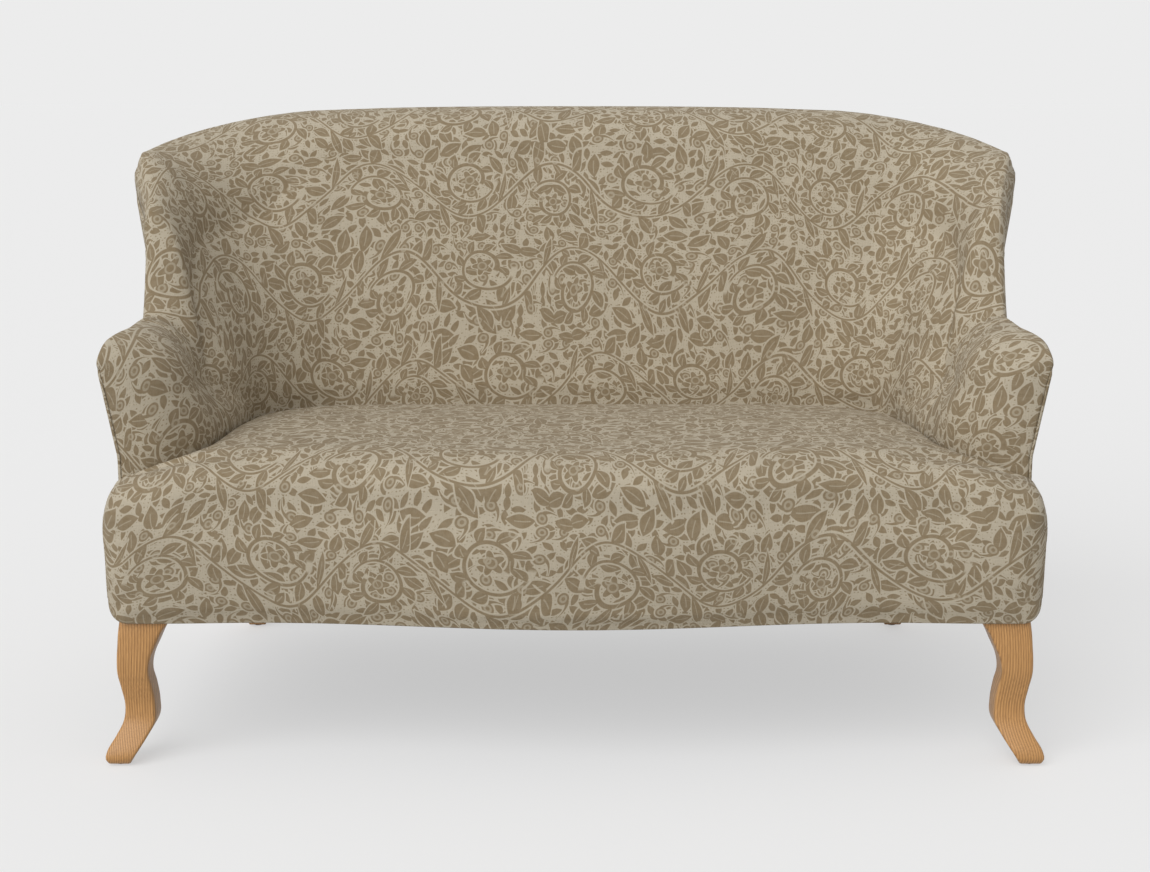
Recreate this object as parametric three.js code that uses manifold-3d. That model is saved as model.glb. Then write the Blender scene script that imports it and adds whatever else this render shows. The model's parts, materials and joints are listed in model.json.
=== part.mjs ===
// High back settee with low flared arms, a tight sprung seat and cabriole front legs.
// Millimetres, +Z up, +X to the sitter's left, the front faces -Y, and the floor is Z = 0.
import * as THREE from "three";
import { mergeVertices } from "three/addons/utils/BufferGeometryUtils.js";
import Module from "manifold-3d";

const wasm = await Module();
wasm.setup();

// Driving sizes of the upholstered form
const overallDepth = 860;
const bodyWidth = 1423;
const seatOverhang = 5.5;
const baseHeight = 224;
const seatHeight = 478;
const backHeight = 982;
const crestDrop = 5;
const wingDrop = 68;
const armHeight = 652;
const armSetback = 100;
const backThickness = 165;
const armThicknessFront = 118;
const armThicknessRear = 153;
const insideCornerWidth = 150;
const insideCornerDepth = 150;
const outsideCornerPower = 3.45;
const insideCornerPower = 2.2;

// Lean, flare and crown of the back, wings and arms
const backLeanInside = 125;
const backLeanOutside = 92;
const wingLeanInside = 120;
const armLeanRear = 50;
const armLeanFront = 15;
const wingLeanPower = 1.5;
const wingFlare = 82;
const waistFlare = 6;
const armFlare = 26;
const backCrown = 12;
const armCrown = 5;
const backRoll = 62;
const armRoll = 50;
const backSoftRoll = 75;
const wingSoftRoll = 150;
const armSoftRoll = 95;
const rollTopShare = 0.87;
const outerRollPower = 2.5;
const innerRollPower = 1.9;

// The arm's soft nose: how far back it starts, and how much it takes off each side at the very front
const noseDepth = 110;
const noseInside = 91;
const noseTop = 40;
const noseOutside = 5;
const noseStepShares = [0.7, 0.45, 0.15];

// Seat form
const bellyDepth = 35;
const recessDepth = 5;
const recessX = 480;
const earX = 640;
const seatRearDrop = 15;
const seatDropStartShare = 0.5;
const frontRollDepth = 60;
const frontRollShare = 0.18;
const frontBulge = 4;
const sideFallShare = 0.228;
const sideFallPower = 8;
const sideEdgeWidth = 17;
const sideEdgeShare = 0.142;
const frontCornerRadius = 28;
const hemCornerRadius = 34;

// Materials' thickness and fits
const coverThickness = 2.5;
const gap = 0.3;
const overrun = 6;
const mergeTolerance = 1e-4;
const backFoam = 70;
const armFoam = 45;
const wingFoam = 31;
const padLip = 16;
const padEdge = 3;
const padNoseDepth = 26;
const padNoseStep = 4;
const webThickness = 2;
const webCount = 3;
const webFillShare = 0.5;
const feltThickness = 4;
const boardThickness = 4;
const dustThickness = 1;
const dustInset = 6;

// Places on the plan line, where 1 to 2 is the corner and 2 to 3 is the arm
const wingStartShare = 1.33;
const swoopTopShare = 1.82;
const swoopFootShare = 2.27;
const waistShare = 2.03;
const flareStartShare = 2.64;
const flareEndShare = 2.91;
const armSeamShare = 2.4;
const outsideSeamShare = 1.42;
const crestEndShare = 1.26;
const wingRailEndShare = 2.6;
const uprightShare = 0.93;
const wingPostShare = 2.07;

// Seat frame
const railThickness = 32;
const railHeight = 100;
const crossRailWidth = 60;
const crossRailHeight = 60;
const blockSize = 78;
const blockHeight = 60;

// Upper frame
const barThickness = 17;
const barHeight = 60;
const wingBarHeight = 42;
const uprightWidth = 32;
const postWidth = 45;
const postStandOff = 3;
const armRailWidth = 44;
const armRailThickness = 22;
const armRailSetback = 30;
const stumpSetback = 52;
const barStandOff = 6.5;
const swoopClearance = 9;
const lowerRailHeight = 60;
const lowerRailRise = 30;
const lowerRailThickness = 20;

// Springs
const springCount = 6;
const springSideRoom = 173;
const springWire = 3.6;
const springWidth = 48;
const springPitch = 46;
const springEndMargin = 9;
const feltLap = 12;
const springTurnShares = [[0.75, -0.42], [1, 0], [0.75, 0.42]];

// Legs
const frontLegX = 661;
const frontLegSetback = 47;
const rearLegX = 620;
const rearLegInset = 62;
const rearLegRake = 82;
const rearFootInward = 14;
const rearLegTopSize = 52;
const rearLegFootSize = 32;
const rearKickPower = 1.6;
const legCornerShare = 0.22;
const legCornerFlatShare = 0.3;
const glideHeight = 3;
const glideRadius = 8;
const boltRadius = 4;
const boltInLeg = 36;
const boltHeadRadius = 7;
const boltHeadHeight = 5.5;
const boltInset = 12;
const frontLegTopSize = 77;
const frontLegKick = 45;

// The front leg's height from the floor, its shift as a share of the kick,
// and its width as a share of the top's
const frontLegShares = [
  [0, 0.93, 0.435],
  [0.03, 0.93, 0.53],
  [0.09, 0.81, 0.62],
  [0.18, 0.54, 0.635],
  [0.27, 0.31, 0.64],
  [0.38, 0.26, 0.61],
  [0.52, 0.34, 0.62],
  [0.63, 0.43, 0.62],
  [0.74, 0.39, 0.67],
  [0.83, 0.28, 0.765],
  [0.91, 0.18, 0.85],
  [1, 0, 1],
];

// Worked out from the sizes above
const halfBody = bodyWidth / 2;
const halfFront = halfBody + seatOverhang;
const backY = overallDepth / 2;
const frontY = bellyDepth + frontBulge - backY;
const armFrontY = frontY + armSetback;
const outsideBackY = backY - backLeanOutside;
const insideBackY = outsideBackY - backThickness;
const seatDepth = insideBackY - frontY;
const insideFrontX = halfBody - armThicknessFront;
const insideRearX = halfBody - armThicknessRear;
const cornerX = insideRearX - insideCornerWidth;
const cornerY = insideBackY - insideCornerDepth;
const armRun = cornerY - armFrontY;
const armMiddleX = (halfBody + insideFrontX) / 2;
const seatLine = seatHeight - seatRearDrop;
const seatRise = seatHeight - baseHeight;
const frontRollHeight = frontRollShare * seatRise;
const sideFallDepth = sideFallShare * seatRise;
const sideEdgeDepth = sideEdgeShare * seatRise;
const coverGap = coverThickness + gap;
const railBottom = baseHeight + gap + dustThickness + gap;
const railTop = railBottom + railHeight;
const springZ = railTop + gap + springWire / 2;
const feltBottom = springZ + springWire / 2 + gap;
const padBottom = feltBottom + feltThickness + gap;
const railOuterX = halfBody - coverGap;
const railInnerX = railOuterX - railThickness;
const springSpacing = (2 * (railInnerX - springSideRoom)) / (springCount - 1);
const backRailY = outsideBackY - coverGap - railThickness;
const frontRailRearY = frontY + recessDepth + coverGap + railThickness;
const gapShare = gap / armRun;
const behindFront = (length) => 3 - length / armRun;
const padStepShare = behindFront(padNoseDepth);
const padStepEndShare = behindFront(padNoseDepth - padNoseStep);
const armRailEndShare = behindFront(armRailSetback);
const stumpShare = behindFront(stumpSetback);
const legFoot = glideHeight + gap;
const rearTackY = outsideBackY - coverGap - dustInset;

const clamp01 = (v) => Math.min(1, Math.max(0, v));
const mix = (a, b, t) => a + (b - a) * t;
const smooth = (t) => {
  const c = clamp01(t);
  return c * c * (3 - 2 * c);
};
const wave = (t) => (1 - Math.cos(Math.PI * clamp01(t))) / 2;
const steps = (from, to, count) => Array.from({ length: count + 1 }, (_, i) => mix(from, to, i / count));
const arcSag = (radius, run) => radius - Math.sqrt(Math.max(0, radius * radius - run * run));

// The back, wings and arms follow one plan line. Its share p is 0 at the middle of the back, 1 where the
// corner starts, 2 where the arm starts and 3 at the arm's front, and it is negative on the other side.
function station(p, inset = 0) {
  const side = p < 0 ? -1 : 1;
  const share = Math.abs(p);
  const toWing = smooth((share - 1) / (wingStartShare - 1));
  const toArm = smooth((share - swoopTopShare) / (swoopFootShare - swoopTopShare));
  const made = { side, inset, nose: { inside: 0, top: 0, outside: 0 } };
  if (share <= 1) {
    made.inner = [share * cornerX, insideBackY];
    made.outer = [share * cornerX, outsideBackY];
  } else if (share <= 2) {
    const angle = ((2 - share) * Math.PI) / 2;
    made.inner = cornerPoint(angle, insideCornerWidth, insideCornerDepth, insideCornerPower);
    made.outer = cornerPoint(angle, halfBody - cornerX, outsideBackY - cornerY, outsideCornerPower);
  } else {
    const behind = (3 - share) * armRun;
    const turn = Math.min(1, behind / noseDepth);
    const y = armFrontY + Math.max(behind, mix(inset, noseDepth, turn));
    made.inner = [mix(insideRearX, insideFrontX, share - 2), y];
    made.outer = [halfBody, y];
    made.nose = noseAt(turn, behind, inset);
  }
  made.span = Math.hypot(made.outer[0] - made.inner[0], made.outer[1] - made.inner[1]);
  made.normal = [0, 1].map((k) => (made.outer[k] - made.inner[k]) / made.span);
  made.leanIn = insideLean(share, toWing, toArm);
  made.leanOut = outsideLean(share, toWing);
  made.leanPower = mix(1, wingLeanPower, toWing);
  made.crown = mix(backCrown, armCrown, toArm);
  made.foam = mix(mix(backFoam, wingFoam, toWing), armFoam, toArm);
  made.top = mix(crestHeight(share), armHeight, toArm);
  made.shoulder = made.top - mix(backRoll, armRoll, toArm);
  made.softShoulder = made.top - mix(mix(backSoftRoll, wingSoftRoll, toWing), armSoftRoll, toArm);
  return made;
}

// The crest is nearly level in the middle and drops round the corners.
function crestHeight(share) {
  const across = Math.min(1, share);
  const round = clamp01((share - 1) / (swoopTopShare - 1));
  return backHeight - crestDrop * across ** 3 - wingDrop * round;
}

function insideLean(share, toWing, toArm) {
  const toArmFront = smooth((share - swoopFootShare) / (flareEndShare - swoopFootShare));
  const arm = mix(armLeanRear, armLeanFront, toArmFront);
  return mix(mix(backLeanInside, wingLeanInside, toWing), arm, toArm);
}

// The outside of the wing draws in to a waist, and the front of the arm flares out again.
function outsideLean(share, toWing) {
  const wing = mix(backLeanOutside, wingFlare, toWing);
  const waist = mix(wing, waistFlare, smooth((share - swoopTopShare) / (waistShare - swoopTopShare)));
  return mix(waist, armFlare, smooth((share - flareStartShare) / (flareEndShare - flareStartShare)));
}

function noseAt(turn, behind, inset) {
  const soft = arcSag(1, 1 - turn);
  const edge = arcSag(1, 1 - Math.min(1, behind / noseOutside));
  return {
    inside: (noseInside - inset) * soft,
    top: (noseTop - inset) * soft,
    outside: (noseOutside - inset) * edge,
  };
}

function cornerPoint(angle, width, depth, power) {
  const across = Math.max(0, Math.cos(angle)) ** (2 / power);
  const along = Math.max(0, Math.sin(angle)) ** (2 / power);
  return [cornerX + width * across, cornerY + depth * along];
}

const rise = (shoulder, z) => clamp01((z - seatLine) / (shoulder - seatLine));
const flareN = (st, z) => st.leanOut * rise(st.shoulder, z);
const leanN = (st, z) => st.leanIn * rise(st.softShoulder, z) ** st.leanPower;
const crownN = (st, z) => st.crown * Math.sin(Math.PI * rise(st.softShoulder, z));
const innerN = (st, z) => leanN(st, z) - crownN(st, z) + st.inset + st.nose.inside;
const outerN = (st, z) => st.span + flareN(st, z) - st.inset - st.nose.outside;
const coreN = (st, z) => leanN(st, z) + st.foam + coverGap;

// A point of the form: n runs outwards from the inside face, and along runs towards the arm's front.
function place(st, n, z, along = 0) {
  const [nx, ny] = st.normal;
  const x = st.inner[0] + nx * n + ny * along;
  const y = st.inner[1] + ny * n - nx * along;
  return new THREE.Vector3(x * st.side, y, z);
}

// The form's section at one station: up the outside, over the roll and down the inside
const upperShares = [0.2, 0.45, 0.72, 1];
const rollShares = [0, 0.12, 0.3, 0.5, 0.7, 0.88, 1];
const upperLevels = (shoulder) => upperShares.map((share) => mix(seatLine, shoulder, share));

function outsideRun(st, top = st.shoulder) {
  const levels = [baseHeight, railTop, seatLine, ...upperLevels(st.shoulder).slice(0, -1), top];
  return levels.map((z) => place(st, outerN(st, z), z));
}

// The roll's ridge lies near the outside, and from there it falls softly to the inside.
function rollRun(st) {
  const outside = { edge: outerN(st, st.shoulder), low: st.shoulder, power: outerRollPower };
  const inside = { edge: innerN(st, st.softShoulder), low: st.softShoulder, power: innerRollPower };
  const ridge = mix(inside.edge, outside.edge, rollTopShare);
  const top = st.top - st.inset - st.nose.top;
  return rollShares.map((share) => {
    const cos = Math.cos(share * Math.PI);
    const { edge, low, power } = cos > 0 ? outside : inside;
    const across = Math.abs(cos) ** (2 / power);
    const up = Math.sin(share * Math.PI) ** (2 / power);
    return place(st, mix(ridge, edge, across), mix(low, top, up));
  });
}

function insideLevels(st, bottoms) {
  return [...upperLevels(st.softShoulder).reverse().slice(1), seatLine, ...bottoms];
}

const insideRun = (st, bottoms) => insideLevels(st, bottoms).map((z) => place(st, innerN(st, z), z));
const insideSkin = (st) => [...rollRun(st), ...insideRun(st, [padBottom])];
const outsideSkin = (st) => outsideRun(st, st.shoulder - gap);

// Turns points and faces into a closed geometry, with its faces pointing out
function geometryOf(points, faces) {
  const geometry = new THREE.BufferGeometry();
  const places = points.flatMap((v) => [v.x, v.y, v.z]);
  geometry.setAttribute("position", new THREE.Float32BufferAttribute(places, 3));
  const volume = faces.reduce((sum, [a, b, c]) => sum + points[a].dot(points[b].clone().cross(points[c])), 0);
  geometry.setIndex(faces.flatMap(([a, b, c]) => (volume < 0 ? [a, c, b] : [a, b, c])));
  return geometry;
}

// A body through closed rings of points, which all have the same number of points
function loft(rings) {
  const size = rings[0].length;
  const last = (rings.length - 1) * size;
  const faces = [];
  for (let i = 0; i < last; i += size) {
    for (let j = 0; j < size; j++) {
      const k = (j + 1) % size;
      faces.push([i + j, i + size + j, i + k]);
      faces.push([i + k, i + size + j, i + size + k]);
    }
  }
  capFaces(rings[0]).forEach(([a, b, c]) => faces.push([a, b, c]));
  capFaces(rings.at(-1)).forEach(([a, b, c]) => faces.push([last + a, last + c, last + b]));
  return geometryOf(rings.flat(), faces);
}

// Triangles of one flat ring, turned so that they close the start of a loft
function capFaces(ring) {
  const normal = new THREE.Vector3();
  ring.forEach((v, i) => normal.add(v.clone().cross(ring[(i + 1) % ring.length])));
  const turn = new THREE.Quaternion().setFromUnitVectors(normal.normalize(), new THREE.Vector3(0, 0, 1));
  const flat = ring.map((v) => v.clone().applyQuaternion(turn)).map((v) => new THREE.Vector2(v.x, v.y));
  return THREE.ShapeUtils.triangulateShape(flat, []);
}

// A body between two grids of points, such as the two faces of a cover
function sandwich(gridA, gridB) {
  const rows = gridA.length;
  const columns = gridA[0].length;
  const a = (i, j) => i * columns + j;
  const b = (i, j) => (rows + i) * columns + j;
  const faces = [];
  const quad = (p, q, r, s) => faces.push([p, q, s], [q, r, s]);
  for (let i = 0; i + 1 < rows; i++) {
    for (let j = 0; j + 1 < columns; j++) {
      quad(a(i, j), a(i + 1, j), a(i + 1, j + 1), a(i, j + 1));
      quad(b(i, j), b(i, j + 1), b(i + 1, j + 1), b(i + 1, j));
    }
    quad(a(i, 0), b(i, 0), b(i + 1, 0), a(i + 1, 0));
    quad(a(i, columns - 1), a(i + 1, columns - 1), b(i + 1, columns - 1), b(i, columns - 1));
  }
  for (let j = 0; j + 1 < columns; j++) {
    quad(a(0, j), a(0, j + 1), b(0, j + 1), b(0, j));
    quad(a(rows - 1, j), b(rows - 1, j), b(rows - 1, j + 1), a(rows - 1, j + 1));
  }
  return geometryOf([...gridA.flat(), ...gridB.flat()], faces);
}

function solid(geometry) {
  const bare = new THREE.BufferGeometry().setAttribute("position", geometry.getAttribute("position").clone());
  bare.setIndex(geometry.index ? geometry.index.clone() : null);
  const merged = mergeVertices(bare, mergeTolerance);
  const vertProperties = new Float32Array(merged.attributes.position.array);
  const triVerts = new Uint32Array(merged.index.array);
  return new wasm.Manifold(new wasm.Mesh({ numProp: 3, vertProperties, triVerts }));
}

function geometryFrom(body) {
  const mesh = body.getMesh();
  const geometry = new THREE.BufferGeometry();
  geometry.setAttribute("position", new THREE.BufferAttribute(mesh.vertProperties, 3));
  geometry.setIndex(new THREE.BufferAttribute(mesh.triVerts, 1));
  return geometry;
}

function cutBy(geometry, tools) {
  return geometryFrom(tools.reduce((body, tool) => body.subtract(solid(tool)), solid(geometry)));
}

function box(x0, x1, y0, y1, z0, z1) {
  const geometry = new THREE.BoxGeometry(x1 - x0, y1 - y0, z1 - z0);
  return geometry.translate((x0 + x1) / 2, (y0 + y1) / 2, (z0 + z1) / 2);
}

function rod(x, y, z0, z1, radius, sides) {
  const geometry = new THREE.CylinderGeometry(radius, radius, z1 - z0, sides);
  return geometry.rotateX(Math.PI / 2).translate(x, y, (z0 + z1) / 2);
}

function plate(points, depth, z) {
  const shape = new THREE.Shape(points.map(([x, y]) => new THREE.Vector2(x, y)));
  return new THREE.ExtrudeGeometry(shape, { depth, bevelEnabled: false }).translate(0, 0, z);
}

function mirrored(geometry) {
  const made = geometry.clone().scale(-1, 1, 1);
  const count = made.attributes.position.count;
  const index = made.index ? [...made.index.array] : Array.from({ length: count }, (_, i) => i);
  for (let i = 0; i < index.length; i += 3) {
    [index[i + 1], index[i + 2]] = [index[i + 2], index[i + 1]];
  }
  made.setIndex(index);
  return made;
}

// Shares of the plan line where the sections stand
const [noseBack, noseMiddle, noseFront] = noseStepShares.map((share) => behindFront(share * noseDepth));
const padShares = [padStepShare, padStepEndShare];
const noseShares = [noseBack, noseMiddle, ...padShares, noseFront, behindFront(noseOutside), 3];
const armShares = [2, 2.06, 2.12, 2.19, 2.3, armSeamShare, 2.5, wingRailEndShare, 2.7, ...noseShares];
const cornerShares = [1, 1.13, crestEndShare, outsideSeamShare, 1.56, 1.7, 1.8, 1.87, 1.94];
const backShares = [0, 0.33, 0.66, 0.84];
const halfShares = [...backShares, ...cornerShares, ...armShares];

// The sections from one share to another, with each end drawn back for a seam or a joint
function between(from, to) {
  const first = from > 0 ? from + gapShare : from;
  const last = to < 3 ? to - gapShare : to;
  return [first, ...halfShares.filter((p) => p > first + gapShare && p < last - gapShare), last];
}

// Joins a half that ends at the middle of the settee to its own mirror image
const bothHalves = (half) => geometryFrom(solid(half).add(solid(mirrored(half))));

// The whole form of the arms, wings and back as one body, larger than the covers by the clearance
function wrapForm(grow) {
  const half = loft(
    halfShares.map((p) => {
      const st = station(p, -grow);
      return [...outsideRun(st), ...rollRun(st).slice(1), ...insideRun(st, [padBottom, railTop, baseHeight])];
    }),
  );
  return bothHalves(half);
}

function coverPanel(shares, skinOf) {
  const grid = (inset) => shares.map((p) => skinOf(station(p, inset)));
  return sandwich(grid(0), grid(coverThickness));
}

const makeInsideBackCover = () => bothHalves(coverPanel(between(0, armSeamShare), insideSkin));
const makeOutsideBackCover = () => bothHalves(coverPanel(between(0, outsideSeamShare), outsideSkin));
const makeOutsideArmCover = () => coverPanel(between(outsideSeamShare, 3), outsideSkin);
const frontShares = [0.5, 1];

// The inside arm's cover wraps round the arm's soft nose to a seam at the outer front edge.
function makeInsideArmCover() {
  const shares = between(armSeamShare, 3);
  const grid = (inset) => {
    const last = insideSkin(station(3, inset));
    const seam = frontSeam(inset);
    const front = frontShares.map((share) => last.map((v, i) => v.clone().lerp(seam[i], share)));
    return [...shares.map((p) => insideSkin(station(p, inset))), ...front];
  };
  return sandwich(grid(0), grid(coverThickness));
}

// Points down the arm's outer front edge, from the outer shoulder to the cover's foot
function frontSeam(inset) {
  const st = station(3, inset);
  const over = rollShares.map((share) => mix(st.shoulder - gap, st.softShoulder, share));
  return [...over, ...insideLevels(st, [padBottom])].map((z) => place(st, outerN(st, z) - gap, z));
}

// A foam pad fills the form behind its cover: down the inside, and over the top in one piece.
function foamPad(shares) {
  const front = shares.map((p) => insideSkin(station(p, coverGap)));
  const back = shares.map((p) => {
    const st = station(p, coverGap);
    const low = st.shoulder - padLip;
    const out = outerN(st, low) - padEdge;
    const backOf = (z) => (p > padStepShare ? outerN(st, z) - padEdge - padLip : coreN(st, z));
    const under = rollShares.map((share) => place(st, mix(out, backOf(low), share), low));
    const down = insideLevels(st, [padBottom]).map((z) => place(st, backOf(z), z));
    return [...under, ...down];
  });
  return sandwich(front, back);
}

const makeBackPad = () => bothHalves(foamPad(between(0, armSeamShare)));
const makeArmPad = () => foamPad(between(armSeamShare, 3));

// The seat's front is serpentine: it swells forward in the middle and again a little at both ends.
function frontCurve(x) {
  const run = Math.abs(x);
  if (run < recessX) {
    return mix(frontY - bellyDepth, frontY + recessDepth, wave(run / recessX));
  }
  return mix(frontY + recessDepth, frontY, wave((run - recessX) / (earX - recessX)));
}

// The seat's top is level in front, falls a little towards the back and rolls down at both ends.
function seatTop(x, y) {
  const along = (y - frontY) / seatDepth;
  const rear = smooth((along - seatDropStartShare) / (1 - seatDropStartShare));
  const end = Math.min(1, Math.abs(x) / halfFront) ** sideFallPower;
  const edge = clamp01((Math.abs(x) - halfFront + sideEdgeWidth) / sideEdgeWidth);
  return seatHeight - seatRearDrop * rear - sideFallDepth * end - sideEdgeDepth * arcSag(1, edge);
}

// The seat's section at one place across: under the hem, up the front, over the roll and back
function seatSection(share, inset, drop, rear) {
  const reach = halfFront - inset;
  const x = share * reach;
  const toEnd = reach - Math.abs(x);
  const face = frontCurve(x) + inset + arcSag(frontCornerRadius, Math.max(0, frontCornerRadius - toEnd));
  const bottom = baseHeight - drop + arcSag(hemCornerRadius, Math.max(0, hemCornerRadius - toEnd));
  const outerX = share * halfFront;
  const rollEnd = face + frontRollDepth;
  const rollTop = seatTop(outerX, rollEnd) - inset;
  const rollLow = rollTop - frontRollHeight;
  const point = (y, z) => new THREE.Vector3(x, y, z);
  const frontRun = steps(0, 1, 4).map((t) => {
    return point(face - frontBulge * Math.sin(Math.PI * t), mix(bottom, rollLow, t));
  });
  const rollRunPoints = steps(0, Math.PI / 2, 4).slice(1).map((angle) => {
    const y = face + frontRollDepth * (1 - Math.cos(angle));
    return point(y, rollLow + frontRollHeight * Math.sin(angle));
  });
  const topRun = steps(0, 1, 5).slice(1).map((t) => {
    const y = mix(rollEnd, rear, t);
    return point(y, seatTop(outerX, y) - inset);
  });
  return [point(rear, bottom), ...frontRun, ...rollRunPoints, ...topRun];
}

const seatHalfShares = [0, 0.17, 0.33, 0.5, 0.66, 0.78, 0.86, 0.92, 0.962, 0.983, 0.995, 1];
const seatShares = [...seatHalfShares.slice(1).reverse().map((share) => -share), ...seatHalfShares];
const facetPlaces = seatShares.map((share) => share * (halfFront - coverThickness));
const seatRear = insideBackY + frontCornerRadius;

function seatForm(inset, drop, rear) {
  return loft(seatShares.map((share) => seatSection(share, inset, drop, rear)));
}

// What the seat is cut back by: the arms and back, and the room beside the arms
function seatCutters() {
  const beside = box(armMiddleX, halfFront + overrun, armFrontY - gap, backY, 0, backHeight);
  return [wrapForm(gap), beside, mirrored(beside)];
}

function makeSeatCover() {
  const inside = seatForm(coverThickness, overrun, seatRear + overrun);
  return cutBy(seatForm(0, 0, seatRear), [inside, ...seatCutters()]);
}

function makeSeatPad() {
  const under = box(-halfFront, halfFront, -backY - overrun, backY, 0, padBottom);
  return cutBy(seatForm(coverGap, 0, seatRear), [under, ...seatCutters()]);
}

// A timber that follows the form: its outside lies at a depth, and its top follows the shoulder.
function formBar(shares, depth, thickness, levelsOf, grow = 0) {
  return loft(
    shares.map((p) => {
      const st = station(p);
      const [z0, z1] = levelsOf(st);
      const corner = (n, z) => place(st, outerN(st, z) - n, z);
      const far = depth + thickness + grow;
      return [
        corner(depth - grow, z0 - grow),
        corner(depth - grow, z1 + grow),
        corner(far, z1 + grow),
        corner(far, z0 - grow),
      ];
    }),
  );
}

const barTop = (st) => st.shoulder - padLip - gap;
const crestLevels = (st) => [barTop(st) - barHeight, barTop(st)];
const wingBarTop = (st) => barTop(st) - swoopClearance;
const wingLevels = (st) => [wingBarTop(st) - wingBarHeight, wingBarTop(st)];
const armRailTop = barTop(station(3));
const armRailLevels = () => [armRailTop - armRailThickness, armRailTop];
const barDepth = coverGap + barStandOff;

function makeCrestRail() {
  return bothHalves(formBar(between(0, crestEndShare), barDepth, barThickness, crestLevels));
}

function makeWingRail(grow = 0) {
  return formBar(between(crestEndShare, wingRailEndShare), barDepth, barThickness, wingLevels, grow);
}

function makeArmRail() {
  const shares = between(wingRailEndShare, armRailEndShare);
  return formBar(shares, coverGap + postStandOff, armRailWidth, armRailLevels);
}

// A sawn board that stands at one place on the plan line, between the foam's backing and the outside
function formPost(p, width, levels, backing, grow = 0) {
  const st = station(p);
  const half = width / 2 + grow;
  const reach = half / armRun;
  const around = [-reach, 0, reach].map((step) => station(p + step));
  const shift = (other) => other.inner[0] * st.normal[0] - st.inner[0] * st.normal[0];
  return loft(
    levels.map((z) => {
      const near = Math.max(...around.map((other) => coreN(other, z) + shift(other)));
      const far = Math.min(...around.map((other) => outerN(other, z) + shift(other)));
      const front = near + gap + backing + gap - grow;
      const rear = far - coverGap - postStandOff + grow;
      const corner = (n, along) => place(st, n, z, along);
      return [corner(front, -half), corner(rear, -half), corner(rear, half), corner(front, half)];
    }),
  );
}

const postShares = [0, 0.35, 0.7, 1];
const postLevels = (top) => [railTop + gap, ...postShares.map((share) => mix(seatLine, top, share))];

function stumpForm(grow = 0) {
  return formPost(stumpShare, postWidth, postLevels(armRailLevels()[0] - gap), boardThickness, grow);
}

function wingPostForm(grow = 0) {
  const frontOfPost = station(wingPostShare + postWidth / 2 / armRun);
  const top = wingBarTop(frontOfPost) - wingBarHeight / 2;
  return formPost(wingPostShare, postWidth, postLevels(top), boardThickness, grow);
}

// The posts are shaped to the board in front of them, and the wing post is notched round its rail.
const makeArmStump = () => cutBy(stumpForm(), [makeArmBoard(gap)]);
const makeWingPost = () => cutBy(wingPostForm(), [makeArmBoard(gap), makeWingRail(gap)]);

function makeBackUpright() {
  const outside = station(uprightShare + uprightWidth / cornerX);
  return formPost(uprightShare, uprightWidth, postLevels(crestLevels(outside)[0] - gap), webThickness);
}

const lowerRailBottom = seatLine + lowerRailRise;
const lowerRailTop = lowerRailBottom + lowerRailHeight;

// The lower rail joins the two uprights, and the middle upright stands on it.
function makeLowerBackRail() {
  const reach = uprightShare * cornerX - uprightWidth / 2 - gap;
  const shares = [-reach, reach].map((x) => x / cornerX);
  return formBar(shares, coverGap + postStandOff, lowerRailThickness, () => [lowerRailBottom, lowerRailTop]);
}

function makeCentreUpright() {
  const levels = [lowerRailTop + gap, crestLevels(station(0))[0] - gap];
  const st = station(0);
  const half = uprightWidth / 2;
  return loft(
    levels.map((z) => {
      const near = coreN(st, z) + gap + webThickness + gap;
      const far = outerN(st, z) - coverGap - postStandOff;
      const corners = [[near, -half], [far, -half], [far, half], [near, half]];
      return corners.map(([n, along]) => place(st, n, z, along));
    }),
  );
}

// A webbing strap crosses the front of the uprights and carries the back's foam.
function makeBackWeb(middle, width) {
  const reach = uprightShare + uprightWidth / 2 / cornerX;
  const inner = backShares.slice(1);
  const shares = [-reach, ...inner.map((share) => -share).reverse(), 0, ...inner, reach];
  return loft(
    shares.map((p) => {
      const st = station(p);
      const near = (z) => coreN(st, z) + gap;
      const [low, high] = [middle - width / 2, middle + width / 2];
      return [
        place(st, near(low), low),
        place(st, near(high), high),
        place(st, near(high) + webThickness, high),
        place(st, near(low) + webThickness, low),
      ];
    }),
  );
}

// A thin board between the arm's foam and its posts
function makeArmBoard(grow = 0) {
  const front = stumpShare + postWidth / 2 / armRun;
  const shares = [2, ...halfShares.filter((p) => p > 2 && p < front), front + (grow ? gapShare : 0)];
  const grid = (deeper) =>
    shares.map((p) => {
      const st = station(p);
      const levels = [barTop(st) + grow, ...insideLevels(st, [padBottom - grow])];
      return levels.map((z) => place(st, coreN(st, z) + gap + deeper, z));
    });
  return sandwich(grid(-grow), grid(boardThickness + grow));
}

// The plan outline inside the covers, as a tall body that trims the rails at the rounded corners
function planOutline() {
  return [...halfShares].reverse().map((p) => {
    const st = station(p, coverGap);
    const { x, y } = place(st, outerN(st, baseHeight), baseHeight);
    return [x, y];
  });
}

function trimmed(geometry) {
  const front = box(-halfFront, halfFront, -backY, armFrontY - gap, 0, backHeight);
  const neckX = halfBody - noseOutside - gap;
  const neck = box(-neckX, neckX, -backY, armFrontY + noseOutside, 0, backHeight);
  const outline = planOutline();
  const otherSide = outline.slice(0, -1).reverse().map(([x, y]) => [-x, y]);
  const allowed = solid(plate([...outline, ...otherSide], backHeight, 0)).add(solid(front)).add(solid(neck));
  return geometryFrom(solid(geometry).intersect(allowed));
}

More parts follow.
